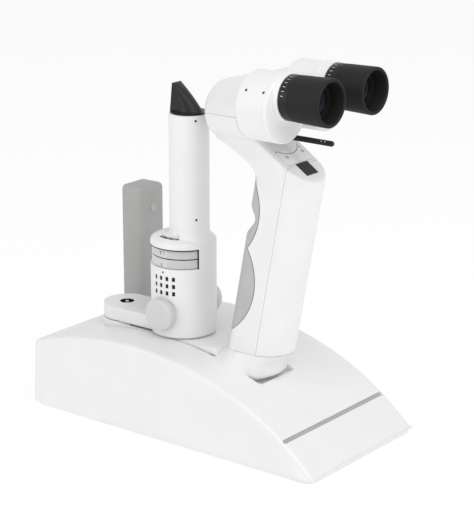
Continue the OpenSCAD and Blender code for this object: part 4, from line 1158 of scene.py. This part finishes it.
@dataclass(frozen=True)
class Head:
    """The optics head: two shells of one smooth convex form, from a round nose to the two barrels."""

    unit: Unit = Unit()
    ball: tuple[float, float, float] = (16.2, 0.0, 184.4)
    radii: tuple[float, float, float] = (12.9, 21.3, 20.9)
    disc: tuple[float, float, float] = (57.3, 25.8, 194.8)
    disc_r: float = 20.5
    valley: tuple[float, float, float] = (57.6, 255.0, 46.0)
    valley_dir: tuple[float, float] = (0.99912, 0.04188)
    tilt: float = math.radians(9.3)
    seam: tuple[float, float] = (57.6, 191.4)
    middle_x: float = 34.0

    def support(self, n: np.ndarray) -> np.ndarray:
        """How far the convex form reaches along each direction: the most of the ball's and discs' reach."""
        ball = n @ np.array(self.ball) + np.linalg.norm(n * np.array(self.radii), axis=-1)
        x, y, z = self.disc
        rim = self.disc_r * np.hypot(n[..., 1], n[..., 2])
        return np.maximum(ball, n[..., 0] * x + np.abs(n[..., 1]) * y + n[..., 2] * z + rim)

    def middle(self) -> np.ndarray:
        """The point in the seam plane from which the form is measured."""
        rise = (self.middle_x - self.seam[0]) * math.tan(self.tilt)
        return np.array([self.middle_x, 0.0, self.seam[1] + rise])

    def reach(self, d: np.ndarray) -> np.ndarray:
        """Distance from the middle to the surface along d: the least of support over slope, refined twice."""
        middle = self.middle()
        count = 5000
        k = np.arange(count) + 0.5
        up, turn = 1 - 2 * k / count, k * math.pi * (1 + 5**0.5)
        flat = np.sqrt(1 - up**2)
        n = np.stack([flat * np.cos(turn), flat * np.sin(turn), up], -1)
        level = self.support(n) - n @ middle
        best = np.empty(len(d), int)
        for lo in range(0, len(d), 4000):
            along = d[lo:lo + 4000] @ n.T
            share = np.where(along > 0.05, level / np.maximum(along, 0.05), 1e9)
            best[lo:lo + 4000] = np.argmin(share, axis=1)
        now = n[best]
        rng = np.random.default_rng(7)
        for size in (0.03, 0.015, 0.008, 0.004, 0.002, 0.001):
            tries = now[:, None, :] + size * rng.standard_normal((1, 14, 3))
            tries = np.concatenate([now[:, None, :], tries], 1)
            tries /= np.linalg.norm(tries, axis=-1, keepdims=True)
            along = np.einsum("ijk,ik->ij", tries, d)
            value = (self.support(tries) - tries @ middle) / np.maximum(along, 0.05)
            pick = np.argmin(value, axis=1)
            now = tries[np.arange(len(d)), pick]
        return value[np.arange(len(d)), pick]

    def valley_hit(self, d: np.ndarray) -> np.ndarray:
        """Distance from the middle along d to the long hollow between the barrels: where a ray meets a tube.

        Both the ray and the way from the tube's axis to the middle lose their part along the axis. What is
        left meets the radius where a square equation in the distance has its smaller root.
        """
        x, z, radius = self.valley
        axis = np.array([self.valley_dir[0], 0.0, self.valley_dir[1]])
        start = self.middle() - np.array([x, 0.0, z])
        start = start - (start @ axis) * axis
        across = d - (d @ axis)[:, None] * axis
        square, cross = (across**2).sum(1), across @ start
        inner = cross**2 - square * (start @ start - radius**2)
        hit = (-cross - np.sqrt(np.maximum(inner, 0))) / np.maximum(square, 1e-9)
        return np.where((inner > 0) & (hit > 0), hit, 1e9)

    def shell(self, upper: bool) -> np.ndarray:
        """One shell's grid: rows from the nose over the sides to the barrels' rim and in over the rear."""
        nose = -np.array([math.cos(self.tilt), 0.0, math.sin(self.tilt)])
        out = np.array([-math.sin(self.tilt), 0.0, math.cos(self.tilt)])
        edge = np.array([0.0, 0.0025, 0.006, 0.011])
        phi = np.concatenate([edge, np.linspace(0.02, math.pi - 0.02, 120), math.pi - edge[::-1]])
        if not upper:
            phi = phi + math.pi
        around = np.cos(phi)[:, None] * np.array([0.0, 1.0, 0.0]) + np.sin(phi)[:, None] * out
        low, high = np.full(len(phi), 0.3), np.full(len(phi), math.pi)
        middle = self.middle()
        for _ in range(40):
            theta = (low + high) / 2
            d = np.cos(theta)[:, None] * nose + np.sin(theta)[:, None] * around
            t = (self.disc[0] - middle[0]) / np.maximum(d[:, 0], 1e-6)
            point = middle + d * t[:, None]
            off_side = np.maximum(np.abs(point[:, 1]) - self.disc[1], 0)
            gap = np.hypot(off_side, point[:, 2] - self.disc[2]) - self.disc_r
            hollow = np.hypot(point[:, 1], point[:, 2] - self.valley[1]) < self.valley[2]
            outside = (d[:, 0] <= 1e-6) | (gap > 0) | hollow
            low, high = np.where(outside, theta, low), np.where(outside, high, theta)
        rows = np.linspace(0.004, 1.0, 90)[:, None] * high[None, :]
        d = np.cos(rows)[..., None] * nose + np.sin(rows)[..., None] * around[None]
        flat = d.reshape(-1, 3)
        far = np.minimum(self.reach(flat), self.valley_hit(flat)).reshape(rows.shape)
        smooth = far.copy()
        for _ in range(6):
            smooth[1:-1] = (smooth[:-2] + 2 * smooth[1:-1] + smooth[2:]) / 4
            smooth[:, 1:-1] = (smooth[:, :-2] + 2 * smooth[:, 1:-1] + smooth[:, 2:]) / 4
        far[:-3] = smooth[:-3]
        groove = np.zeros(len(phi))
        groove[[0, -1]] = 0.45
        groove[[1, -2]] = 0.12
        points = middle + d * (far - groove[None, :])[..., None]
        points[:, [0, -1]] += (0.14 if upper else -0.14) * out
        centre = np.array([self.disc[0], 0.0, middle[2] + (self.disc[0] - middle[0]) * math.tan(self.tilt)])
        face = [points[-1] * (1 - s) + centre * s for s in (0.03, 0.5, 0.98)]
        return self.unit.place(np.concatenate([points, np.array(face)]))

    def tools(self, upper: bool) -> list[bpy.types.Mesh]:
        """What is cut out of a shell: the objective's port, the changer's room and the lever disc's."""
        port = revolve(np.array([[-5.0, 0.0], [-5.0, 11.0], [12.0, 11.0], [12.0, 0.0]]))
        port = port + np.array([0.0, self.unit.mid_y, self.ball[2] + self.unit.floor])
        disc = revolve(np.array([[-6.0, 0.0], [-6.0, 15.9], [0.3, 15.9], [0.3, 0.0]]))
        dial_room = Surface().grid(disc).mesh("dial_room")
        dial_room.transform(self.unit.slope_matrix() @ Matrix.Rotation(-math.pi / 2, 4, "Y"))
        low, high = (np.array(corner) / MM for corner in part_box("changer_drum"))
        across, shaft, wide, ends = (high[0] - low[0]) / 2 + 0.6, 4.4, 18.6, 23.4
        room = revolve(np.array([[-ends, 0.0], [-ends, shaft], [-wide, shaft], [-wide, across],
                                 [wide, across], [wide, shaft], [ends, shaft], [ends, 0.0]]), 64)
        room = room[..., [1, 0, 2]]
        drum_room = Surface().grid(room + (low + high) / 2).mesh("drum_room")
        port = Surface().grid(port).mesh("port")
        return [port, drum_room] if upper else [port, dial_room, drum_room]

    def build(self, shop: Workshop) -> None:
        """Makes the two shells with their openings."""
        for upper, name in ((True, "head_upper"), (False, "head_lower")):
            mesh = shop.carved(closed(self.shell(upper), name), self.tools(upper))
            mesh = shop.bevelled(mesh, 0.3, 2, 60.0)
            shop.piece(f"{name}_skin", mesh, "unit", Finish.WHITE, [name], 48.0)


@dataclass(frozen=True)
class Tower:
    """The lamp tower: a round housing with a domed shoulder, a window, vents and a slot, and two dials."""

    unit: Unit = Unit()
    x: float = -25.1
    radius: float = 23.5
    bottom: float = 17.7
    dome: tuple[float, float] = (90.6, 6.0)
    tube: tuple[float, float, float] = (5.8, 14.2, 93.2)
    cove: float = 2.8
    window: tuple[float, float, float] = (68.3, 82.7, 67.0)
    dial_r: float = 22.3
    dial_t: float = 6.7
    gap: float = 0.5
    rib: float = 0.42
    hood_tall: float = 20.2
    vents: tuple[int, int] = (4, 3)
    vent_angle: float = -87.4
    vent_pitch: tuple[float, float] = (12.5, 5.3)
    vent_drop: float = 7.1
    vent_half: tuple[float, float] = (1.2, 1.55)
    slot: tuple[float, float, float, float] = (15.5, 18.7, -117.0, -60.0)
    rod_r: float = 1.9
    digits: dict[str, str] = field(
        default_factory=lambda: {"0": "abcdef", "1": "bc", "6": "acdefg", "7": "abc", "9": "abcdfg"}
    )

    def place(self, points: np.ndarray) -> np.ndarray:
        """Moves points from the tower's axis and the dock floor into the frame."""
        return self.unit.place(points) + np.array([self.x, 0.0, 0.0])

    def shoulder(self, radius: np.ndarray, off_tube: np.ndarray) -> np.ndarray:
        """Height of the shoulder: a superelliptic dome with a cove that rises to the tube's foot.

        The dome falls with the radius to the power of 2.5. The cove adds what is missing to the foot's
        height, less and less with the distance from the tube.
        """
        top, drop = self.dome
        share = np.clip(radius / self.radius, 0, 1) ** 2.5
        dome = top - drop * (1 - np.maximum(0.0, 1 - share) ** 0.4)
        rise = np.clip(1 - np.maximum(off_tube, 0) / self.cove, 0, 1) ** 2.2
        return dome + (self.tube[2] - dome) * rise

    def body_rows(self) -> np.ndarray:
        """Rings of the housing: up the side, over the shoulder and in to the tube's foot."""
        ring = arc(1.0, circle(180))
        low = self.dome[0] - self.dome[1]
        side = [(self.radius - 1, self.bottom), (self.radius - 0.3, self.bottom + 0.3),
                (self.radius, self.bottom + 1), *[(self.radius, z) for z in np.linspace(22, low - 0.3, 16)]]
        rows = [at_height(ring * reach, z) for reach, z in side]
        offset, tube_r, _ = self.tube
        foot = offset * ring[:, 0] + np.sqrt(tube_r**2 - (offset * ring[:, 1]) ** 2)
        for share in np.linspace(0, 1, 34):
            reach = self.radius + (foot - self.radius) * share**2.2
            flat = ring * reach[:, None]
            off = np.hypot(flat[:, 0] - offset, flat[:, 1]) - tube_r
            rows.append(np.column_stack([flat, self.shoulder(reach, off)]))
        rows.append(at_height(ring * (foot - 0.6)[:, None], self.tube[2]))
        return self.place(np.array(rows))

    def sector(self, inner: float, outer: float, low: float, high: float, start: float, end: float,
               count: int = 60) -> np.ndarray:
        """A bent block between two radii, two heights and two angles in degrees: rings of four corners."""
        angle = np.radians(np.linspace(start, end, count))
        corners = [(inner, low), (outer, low), (outer, high), (inner, high)]
        return self.place(np.stack([at_height(arc(reach, angle), z) for reach, z in corners], axis=1))

    def block(self, *args: float) -> bpy.types.Mesh:
        """The closed mesh of a bent block."""
        return closed(self.sector(*args), "block")

    def strokes(self, text: str, middle: float, height: float, tall: float) -> list[tuple[float, ...]]:
        """Strokes of plain seven-stroke digits as (left, right, low, high) on a flat, in millimetres."""
        wide, thick = tall * 0.55, tall * 0.17
        half, bars = wide / 2, []
        spans = {
            "a": (-half, half, 1, 1), "b": (half, half, 0.5, 1), "c": (half, half, 0, 0.5),
            "d": (-half, half, 0, 0), "e": (-half, -half, 0, 0.5), "f": (-half, -half, 0.5, 1),
            "g": (-half, half, 0.5, 0.5),
        }
        for key in self.digits[text]:
            left, right, low, high = spans[key]
            bars.append((middle + left - thick / 2, middle + right + thick / 2,
                         height + (low - 0.5) * tall - thick / 2, height + (high - 0.5) * tall + thick / 2))
        return bars

    def print_on(self, radius: float, bars: Iterable[tuple[float, ...]]) -> bpy.types.Mesh:
        """Flat prints on a round wall; places along it are millimetres of arc from -90 degrees."""
        work = Surface()
        for left, right, low, high in bars:
            angle = -math.pi / 2 + np.linspace(left, right, 4) / radius
            rows = np.stack([at_height(arc(radius, angle), z) for z in (low, high)])
            work.grid(self.place(rows), False)
        return work.mesh("print", False)

    def dial_rows(self, level: int) -> np.ndarray:
        """Rings of one dial's rim: fine ribs every three degrees over two thirds of it, plain elsewhere."""
        low = self.window[0] + 0.12 + level * (self.dial_t + self.gap)
        angle = circle(960)
        turn = np.degrees(angle + math.radians(84)) % 360
        ribbed = (turn > 1) & (turn < 238)
        wave = np.abs((turn / 3.0) % 1.0 - 0.5) * 2
        depth = np.where(ribbed, self.rib * wave**1.5, 0.0)
        inner, shoulder, tall = self.dial_r - 2.6, self.dial_r - 0.5, self.dial_t
        rows = []
        for reach, z, deep in ((inner, 0, 0), (shoulder, 0, 0), (self.dial_r, 0.35, 1),
                               (self.dial_r, tall - 0.35, 1), (shoulder, tall, 0), (inner, tall, 0)):
            rows.append(at_height(arc(reach - depth * deep, angle), low + z))
        rows.append(rows[0])
        return self.place(np.array(rows))

    def hood(self, shop: Workshop) -> None:
        """Makes the prism hood: rings that shrink towards the apex, flat on the sides, round at the slope.

        The slope's reach along the hood follows a square equation in the height, solved for each ring.
        """
        low, high = (np.array(corner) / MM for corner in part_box("prism_hood"))
        axis_x, middle = self.x + self.tube[0], self.unit.mid_y
        base = high[2] - self.hood_tall
        turn = np.linspace(-math.pi / 2, math.pi / 2, 25)
        line = np.linspace(0, 1, 9)[:-1, None]
        rows = []
        for share in np.linspace(0.0, 1.0, 22):
            along = (-0.62 + math.sqrt(0.3844 + 1.44 * (1 - share))) / 0.72
            right = -10.8 + 22.4 * along + 0.6 * share
            left = np.interp(share, [0, 0.535, 1], [-12.9, -11.8, -10.8])
            half = 4.8 + 3.4 * (1 - share) ** 1.3
            curve = min(0.92 * (right - left), 1.2 + 11.0 * (1 - share))
            end = np.stack([right - curve + curve * np.cos(turn), half * np.sin(turn)], -1)
            near = np.array([[left, -5.0]]) * (1 - line) + end[0] * line
            ring = np.concatenate([near, end, (near * [1, -1])[::-1]])
            rows.append(at_height(ring + [axis_x, middle], base + self.hood_tall * share))
        window = box_mesh((axis_x - 20, middle - 3.2, base + 4.8), (axis_x - 4, middle + 3.2, base + 12.8))
        form = shop.carved(closed(np.array(rows), "hood"), [window])
        shop.piece("hood_skin", form, "swing", Finish.BLACK, ["prism_hood"], 32.0)
        disc = turned([[base - 4.0, 0], [base - 4.0, 12.2], [base - 0.2, 12.2], [base + 0.5, 13.0],
                       [base + 1.1, 12.7], [base + 1.3, 0]], 72)
        disc = Surface().grid(disc + [axis_x, middle, 0.0]).mesh("disc")
        shop.piece("hood_base", disc, "swing", Finish.BLACK)

    def cuts(self) -> list[bpy.types.Mesh]:
        """The tools of the window, the vents and the slot on the shoulder."""
        low, high, half = self.window
        tools = [self.block(21.2, 27.0, low, high, -90 - half, -90 + half)]
        columns, rows = self.vents
        spread = math.degrees(self.vent_half[0] / self.radius)
        for column in range(columns):
            middle = self.vent_angle + self.vent_pitch[0] * (column - (columns - 1) / 2)
            for row in range(rows):
                z = low - self.vent_drop - self.vent_pitch[1] * row
                tools.append(self.block(21.6, 26.0, z - self.vent_half[1], z + self.vent_half[1],
                                        middle - spread, middle + spread, 4))
        inner, outer, start, end = self.slot
        tools.append(self.block(inner, outer, 86.5, 99.0, start, end, 30))
        return tools

    def lever_dots(self, shop: Workshop) -> None:
        """Makes the two dots on the lever's rod."""
        rod_low, rod_high = (np.array(corner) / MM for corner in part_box("lever_rod"))
        middle, dots = (rod_low + rod_high) / 2, Surface()
        out = np.array([0.0, -0.8, 0.6])
        for x in (94.2, 97.1):
            spot = np.array([x, middle[1], middle[2]]) + self.rod_r * out
            pin = tube_along(np.array([spot - out * 0.3, spot + out * 0.06]), 0.42, 12)
            dots.grid(pin, True, (True, True))
        shop.piece("lever_dots", dots.mesh("dots"), "lever", Finish.TICK)

    def slope_marks(self, shop: Workshop) -> None:
        """Makes the marks round the lever's disc: an arc, two dots and plain numbers."""
        lift, marks = 0.04, Surface()
        turn = np.radians(np.linspace(-47, 52, 60))
        marks.grid(np.stack([at_height(arc(reach, turn), lift) for reach in (15.5, 15.95)]), False)
        for degrees in (-48.0, 44.0):
            ring = np.stack([at_height(arc(reach, circle(16)), lift) for reach in (0.55, 0.02)])
            marks.grid(ring + polar(17.3, degrees), True)
        for text, x, y in (("1", 17.6, -9.0), ("0", 17.6, -7.2), ("1", 16.4, 9.6), ("6", 16.4, 11.4)):
            for left, right, foot, crown in self.strokes(text, y, 0.0, 2.0):
                marks.grid(np.array([[[x - foot, left, lift], [x - foot, right, lift]],
                                     [[x - crown, left, lift], [x - crown, right, lift]]]), False)
        mesh = marks.mesh("marks", False)
        mesh.transform(self.unit.slope_matrix())
        shop.piece("slope_marks", mesh, "unit", Finish.MARK)

    def liners(self, shop: Workshop) -> None:
        """Makes black pieces of painted shade: walls behind the window, the vents and the slot, a painted
        shadow under the window's top rim and a dark strip along its right edge.
        """
        low, high, half = self.window
        bottom, top, start, end = low + 0.02, high - 0.02, -90 - half + 0.1, -90 + half - 0.1
        inner, outer, slot_start, slot_end = self.slot
        # painted shade: black sheets where the window, vents and slot are in shade, and a painted shadow
        # under the window's top rim
        dark = Surface()
        for sizes in ((21.0, 21.9, bottom, top, start, end), (21.4, 23.0, low - 20.2, low - 4.2, -112, -62),
                      (22.4, 23.42, high - 0.8, top, start, end),
                      (22.5, 23.3, bottom, top, end - 1.5, end, 4),
                      (inner - 0.1, outer + 0.1, 87.0, 88.8, slot_start - 0.5, slot_end + 0.5)):
            dark.grid(self.sector(*sizes), True, (True, True))
        shop.piece("tower_painted_shade", dark.mesh("dark"), "swing", Finish.BLACK)

    def slot_heads(self, shop: Workshop) -> None:
        """Makes the three small heads in the slot on the shoulder."""
        heads = Surface()
        head = turned([[0, 0], [0, 0.75], [1.0, 0.75], [1.2, 0.5], [1.2, 0]], 20)
        for degrees in (-108.0, -90.0, -72.0):
            heads.grid(self.place(head + polar(17.0, degrees, 87.9)))
        shop.piece("slot_heads", heads.mesh("heads"), "swing", Finish.LATCH)

    def dials(self, shop: Workshop) -> None:
        """Makes both dials with their plain numbers."""
        for level, side, marks in ((1, "upper", [("9", -97.0, 79.3, 2.1), ("7", -90.0, 79.3, 2.1)]),
                                   (0, "lower", [("0", -94.5, 70.4, 1.7)])):
            rim = Surface().grid(self.dial_rows(level), True).mesh(f"{side}_dial")
            shop.piece(f"{side}_dial_skin", rim, f"dial_{side}", Finish.PALE, [f"{side}_dial"], 30.0)
            bars = []
            for text, degrees, z, tall in marks:
                bars += self.strokes(text, math.radians(degrees + 90) * self.dial_r, z, tall)
            number = self.print_on(self.dial_r + 0.03, bars)
            shop.piece(f"{side}_dial_number", number, f"dial_{side}", Finish.MARK)

    def build(self, shop: Workshop) -> None:
        """Makes the housing, the hood, the marks, the black pieces of painted shade and the dials."""
        body = shop.carved(closed(self.body_rows(), "tower"), self.cuts())
        shop.piece("tower_skin", body, "swing", Finish.WHITE, ["tower_housing"], 40.0)
        self.hood(shop)
        self.lever_dots(shop)
        self.slope_marks(shop)
        self.liners(shop)
        self.slot_heads(shop)
        dot = self.print_on(self.radius + 0.02, [(-0.3, 1.1, 64.9, 66.3)])
        shop.piece("index_dot", dot, "swing", Finish.MARK)
        self.dials(shop)


@dataclass(frozen=True)
class Barrels:
    """The two round prism housings with their raised bosses, dioptre rings, eyecups and ocular lenses."""

    unit: Unit = Unit()
    start: float = 57.6
    length: float = 25.0
    radius: float = 23.3
    away: float = 23.9
    height: float = 196.7
    offset: tuple[float, float] = (1.1, 8.2)
    ring_r: float = 15.3
    collar: float = 4.2
    ring: float = 7.0
    cup: float = 25.0
    cup_r: float = 16.0
    ticks: int = 12
    screws: tuple[float, float] = (6.2, 20.2)
    screw_turn: float = 55.5
    screw_sink: float = 2.2

    def build(self, shop: Workshop) -> None:
        """Makes both sides."""
        for side, name in ((-1, "near"), (1, "far")):
            self.barrel(shop, side, name)
            self.eyepiece(shop, side, name)

    def barrel(self, shop: Workshop, side: int, name: str) -> None:
        """Makes one housing: a drum with a rounded rear edge and a flared boss round the eyepiece's axis."""
        place = self.unit.place
        line, mouth = self.length - 3.3, self.length + self.collar - 0.3
        drum = rounded([[0.3, 0], [0.3, self.radius], [line - 0.15, self.radius], [line, self.radius - 0.3],
                        [line + 0.15, self.radius], [self.length, self.radius], [self.length, 0]],
                       [0, 0.5, 0, 0, 0, 2.9, 0], 9)
        boss = rounded([[self.length - 4, 0], [self.length - 4, self.ring_r + 0.7],
                        [self.length + 0.2, self.ring_r + 0.7], [mouth, self.ring_r + 0.4], [mouth, 0]],
                       [0, 0, 0, 0.5, 0], 6)
        at_drum = np.array([self.start, side * self.away, self.height])
        at_eye = at_drum + np.array([0.0, side * self.offset[0], self.offset[1]])
        body = Surface().grid(place(revolve(drum, 128) + at_drum)).mesh(f"{name}_drum")
        holes, plugs = [], []
        for along in self.screws:
            spot = Matrix.Translation(Vector(place(at_drum + np.array([along, 0, 0]))) * MM)
            turn = Matrix.Rotation(math.radians(-self.screw_turn * side), 4, "X")
            sink = Matrix.Translation(Vector((0, 0, self.radius - self.screw_sink)) * MM)
            move = spot @ turn @ sink @ Matrix.Rotation(-math.pi / 2, 4, "Y")
            for group, label, start, end, radius in ((holes, "screw_hole", 0.0, 4.0, 1.0),
                                                     (plugs, "plug", 0.1, 1.7, 0.96)):
                pin = np.array([[start, 0], [start, radius], [end, radius], [end, 0]])
                mesh = Surface().grid(revolve(pin, 20)).mesh(label)
                mesh.transform(move)
                group.append(mesh)
        body = shop.carved(body, holes)
        for number, plug in enumerate(plugs):
            shop.piece(f"{name}_screw_{number + 1}", plug, f"{name}_barrel", Finish.BLACK)
        shop.piece(f"{name}_drum_skin", body, f"{name}_barrel", Finish.WHITE, [f"{name}_housing"], 38.0)
        collar = Surface().grid(place(revolve(boss, 112) + at_eye)).mesh(f"{name}_boss")
        shop.piece(f"{name}_boss_skin", collar, f"{name}_barrel", Finish.WHITE, (), 38.0)

    def eyepiece(self, shop: Workshop, side: int, name: str) -> None:
        """Makes one dioptre ring with printed lines, its rubber cup and the ocular lens."""
        at = np.array([self.start + self.length + self.collar, side * (self.away + self.offset[0]),
                       self.height + self.offset[1]])
        place = self.unit.place
        ring = rounded([[0, 9], [0, self.ring_r], [self.ring, self.ring_r], [self.ring, 9.0]],
                       [0, 0.6, 0.4, 0], 5)
        mesh = Surface().grid(place(revolve(ring, 112) + at), True).mesh(f"{name}_ring")
        tube = rounded([[-0.2, 9.0], [-0.2, 8.4], [self.ring + 16, 8.4], [self.ring + 16, 12.4],
                        [self.ring - 0.2, 12.4]], [0, 0, 0, 0.4, 0], 4)
        body = f"{name}_eyepiece"
        shop.piece(f"{name}_ring_skin", mesh, body, Finish.BLACK, [f"{name}_dioptre_ring"], 38.0)
        inner = Surface().grid(place(revolve(tube, 96) + at), True).mesh(f"{name}_tube")
        shop.piece(f"{name}_tube_skin", inner, body, Finish.BLACK, (), 38.0)
        lines = Surface()
        for k in range(self.ticks):
            angle = math.radians(76.5 - 12 * k) + np.array([-0.012, 0.012])
            radius = self.ring_r + 0.03
            corners = np.array([[[x, -radius * math.sin(a), radius * math.cos(a)] for a in angle]
                                for x in (1.9, 4.0)])
            lines.grid(place(corners + at), False)
        shop.piece(f"{name}_ring_lines", lines.mesh("lines", False), body, Finish.TICK)
        x0, length, rim = self.ring, self.cup, self.cup_r
        cup = rounded([[x0, 12.4], [x0, self.ring_r + 0.05], [x0 + 1.2, self.ring_r + 0.15],
                       [x0 + length - 3, rim], [x0 + length, rim], [x0 + length, rim - 2.2],
                       [x0 + length - 7, 12.8], [x0 + 9, 12.4]],
                      [0, 0.3, 0.6, 1.5, 1.1, 1.1, 3, 0], 6)
        rubber = Surface().grid(place(revolve(cup, 128) + at), True).mesh(f"{name}_cup")
        shop.piece(f"{name}_cup_skin", rubber, body, Finish.RUBBER, [f"{name}_eyecup"], 42.0)
        glass = []
        for share in np.linspace(0, 1, 14):
            radius = 7.9 * share
            glass.append([x0 + length - 11 - 1.6 * share**2, radius])
        lens = Surface().grid(place(revolve(np.array(glass[::-1]), 80) + at), True).mesh(f"{name}_lens")
        shop.piece(f"{name}_lens_skin", lens, body, Finish.LENS, [f"{name}_ocular"], 60.0)
        holder = rounded([[x0 + length - 14, 12.4], [x0 + length - 11.5, 12.3], [x0 + length - 11.2, 9.6],
                          [x0 + length - 12.4, 7.9], [x0 + length - 15, 7.9]], [0, 0.4, 0.8, 0.3, 0], 5)
        seat = Surface().grid(place(revolve(holder, 96) + at), True).mesh(f"{name}_lens_seat")
        shop.piece(f"{name}_lens_seat", seat, body, Finish.BLACK, (), 42.0)


@dataclass(frozen=True)
class Studio:
    """Camera, lights, floor and white surroundings."""

    camera_at: tuple[float, float, float] = (783.41, -989.47, 497.93)
    right: tuple[float, float, float] = (0.790194, 0.612857, -0.000441)
    up: tuple[float, float, float] = (-0.176534, 0.228304, 0.957451)
    back: tuple[float, float, float] = (0.586881, -0.756494, 0.288594)
    lens: float = 127.63
    shift: tuple[float, float] = (-0.00055, -0.00202)
    scattered: float = 0.47
    floor_half: float = 6000.0
    floor_z: float = -0.2
    floor_glow: float = 1.08
    floor_share: float = 0.78

    def lamp(
        self, name: str, place: Sequence[float], aim: Sequence[float], size: float, power: float
    ) -> None:
        """Adds a square soft light.

        Args:
            name: the light's name.
            place: where it hangs, in metres.
            aim: the point that it faces.
            size: its side in metres.
            power: its power in watts.
        """
        data = bpy.data.lights.new(name, "AREA")
        data.size = size
        data.energy = power
        obj = bpy.data.objects.new(name, data)
        obj.location = place
        obj.rotation_euler = (Vector(place) - Vector(aim)).to_track_quat("Z", "Y").to_euler()
        bpy.context.scene.collection.objects.link(obj)

    def camera(self) -> bpy.types.Object:
        """The camera of the photograph."""
        data = bpy.data.cameras.new("view")
        data.sensor_fit = "VERTICAL"
        data.sensor_height = 36.0
        data.lens = self.lens
        data.shift_x, data.shift_y = self.shift
        data.clip_end = 50.0
        camera = bpy.data.objects.new("view", data)
        columns = Matrix((self.right, self.up, self.back)).transposed()
        camera.matrix_world = Matrix.Translation(Vector(self.camera_at) * MM) @ columns.to_4x4()
        bpy.context.scene.collection.objects.link(camera)
        return camera

    def surroundings(self) -> bpy.types.World:
        """White to camera, glossy and transmission rays, dimmer to the rays that light the scene."""
        world = bpy.data.worlds.new("white_surroundings")
        world.use_nodes = True
        tree = world.node_tree
        tree.nodes.clear()
        path = tree.nodes.new("ShaderNodeLightPath")
        seen = path.outputs["Is Camera Ray"]
        for ray in ("Is Glossy Ray", "Is Transmission Ray"):
            most = tree.nodes.new("ShaderNodeMath")
            most.operation = "MAXIMUM"
            tree.links.new(seen, most.inputs[0])
            tree.links.new(path.outputs[ray], most.inputs[1])
            seen = most.outputs[0]
        mix, out = tree.nodes.new("ShaderNodeMixShader"), tree.nodes.new("ShaderNodeOutputWorld")
        tree.links.new(seen, mix.inputs[0])
        for slot, strength in ((1, self.scattered), (2, 1.0)):
            light = tree.nodes.new("ShaderNodeBackground")
            light.inputs["Color"].default_value = (1, 1, 1, 1)
            light.inputs["Strength"].default_value = strength
            tree.links.new(light.outputs[0], mix.inputs[slot])
        tree.links.new(mix.outputs[0], out.inputs[0])
        return world

    def build(self) -> None:
        """Makes the camera, the lights, the surroundings and the floor."""
        scene = bpy.context.scene
        scene.camera = self.camera()
        scene.view_settings.view_transform = "Standard"
        self.lamp("overhead", (0.9, -0.35, 1.35), (0, 0, 0.1), 1.5, 13.0)
        self.lamp("near_left", (-0.7, -1.6, 0.7), (0, 0, 0.12), 1.1, 6.5)
        self.lamp("right_fill", (1.6, 0.4, 0.7), (0, 0, 0.12), 1.0, 1.5)
        scene.world = self.surroundings()
        self.floor()

    def floor(self) -> None:
        """A plain white floor that keeps a soft shadow under the stand."""
        ring = np.array([[-1, -1], [1, -1], [1, 1], [-1, 1]]) * self.floor_half
        mesh = bpy.data.meshes.new("floor")
        mesh.from_pydata((at_height(ring, self.floor_z) * MM).tolist(), [], [[0, 1, 2, 3]])
        obj = bpy.data.objects.new("floor", mesh)
        bpy.context.scene.collection.objects.link(obj)
        shader = Shader("floor_paper")
        shader.set("Base Color", (0.9, 0.9, 0.9, 1))
        shader.set("Roughness", 0.9)
        glow = shader.node("ShaderNodeEmission", None, (1, 1, 1, 1), self.floor_glow)
        mix = shader.node(
            "ShaderNodeMixShader", None, self.floor_share, shader.principled.outputs[0], glow.outputs[0]
        )
        output = [n for n in shader.tree.nodes if n.type == "OUTPUT_MATERIAL"][0]
        shader.tree.links.new(mix.outputs[0], output.inputs[0])
        mesh.materials.append(shader.material)


def main() -> None:
    """Builds the lamp's looks in order and reports each piece."""
    logging.basicConfig(level=logging.INFO, format="%(name)s: %(message)s")
    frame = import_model()
    shop = Workshop(frame)
    for name, finish in NODE_FINISH.items():
        node = frame["nodes"][name]
        node.data.materials.clear()
        node.data.materials.append(finish_material(finish))
    for part in (Stand(), Foot(), Spare(), Grip(), Head(), Barrels(), Tower()):
        part.build(shop)
    Studio().build()
    LOG.info("%d pieces made", len(shop.made))


if __name__ == "__main__":
    main()
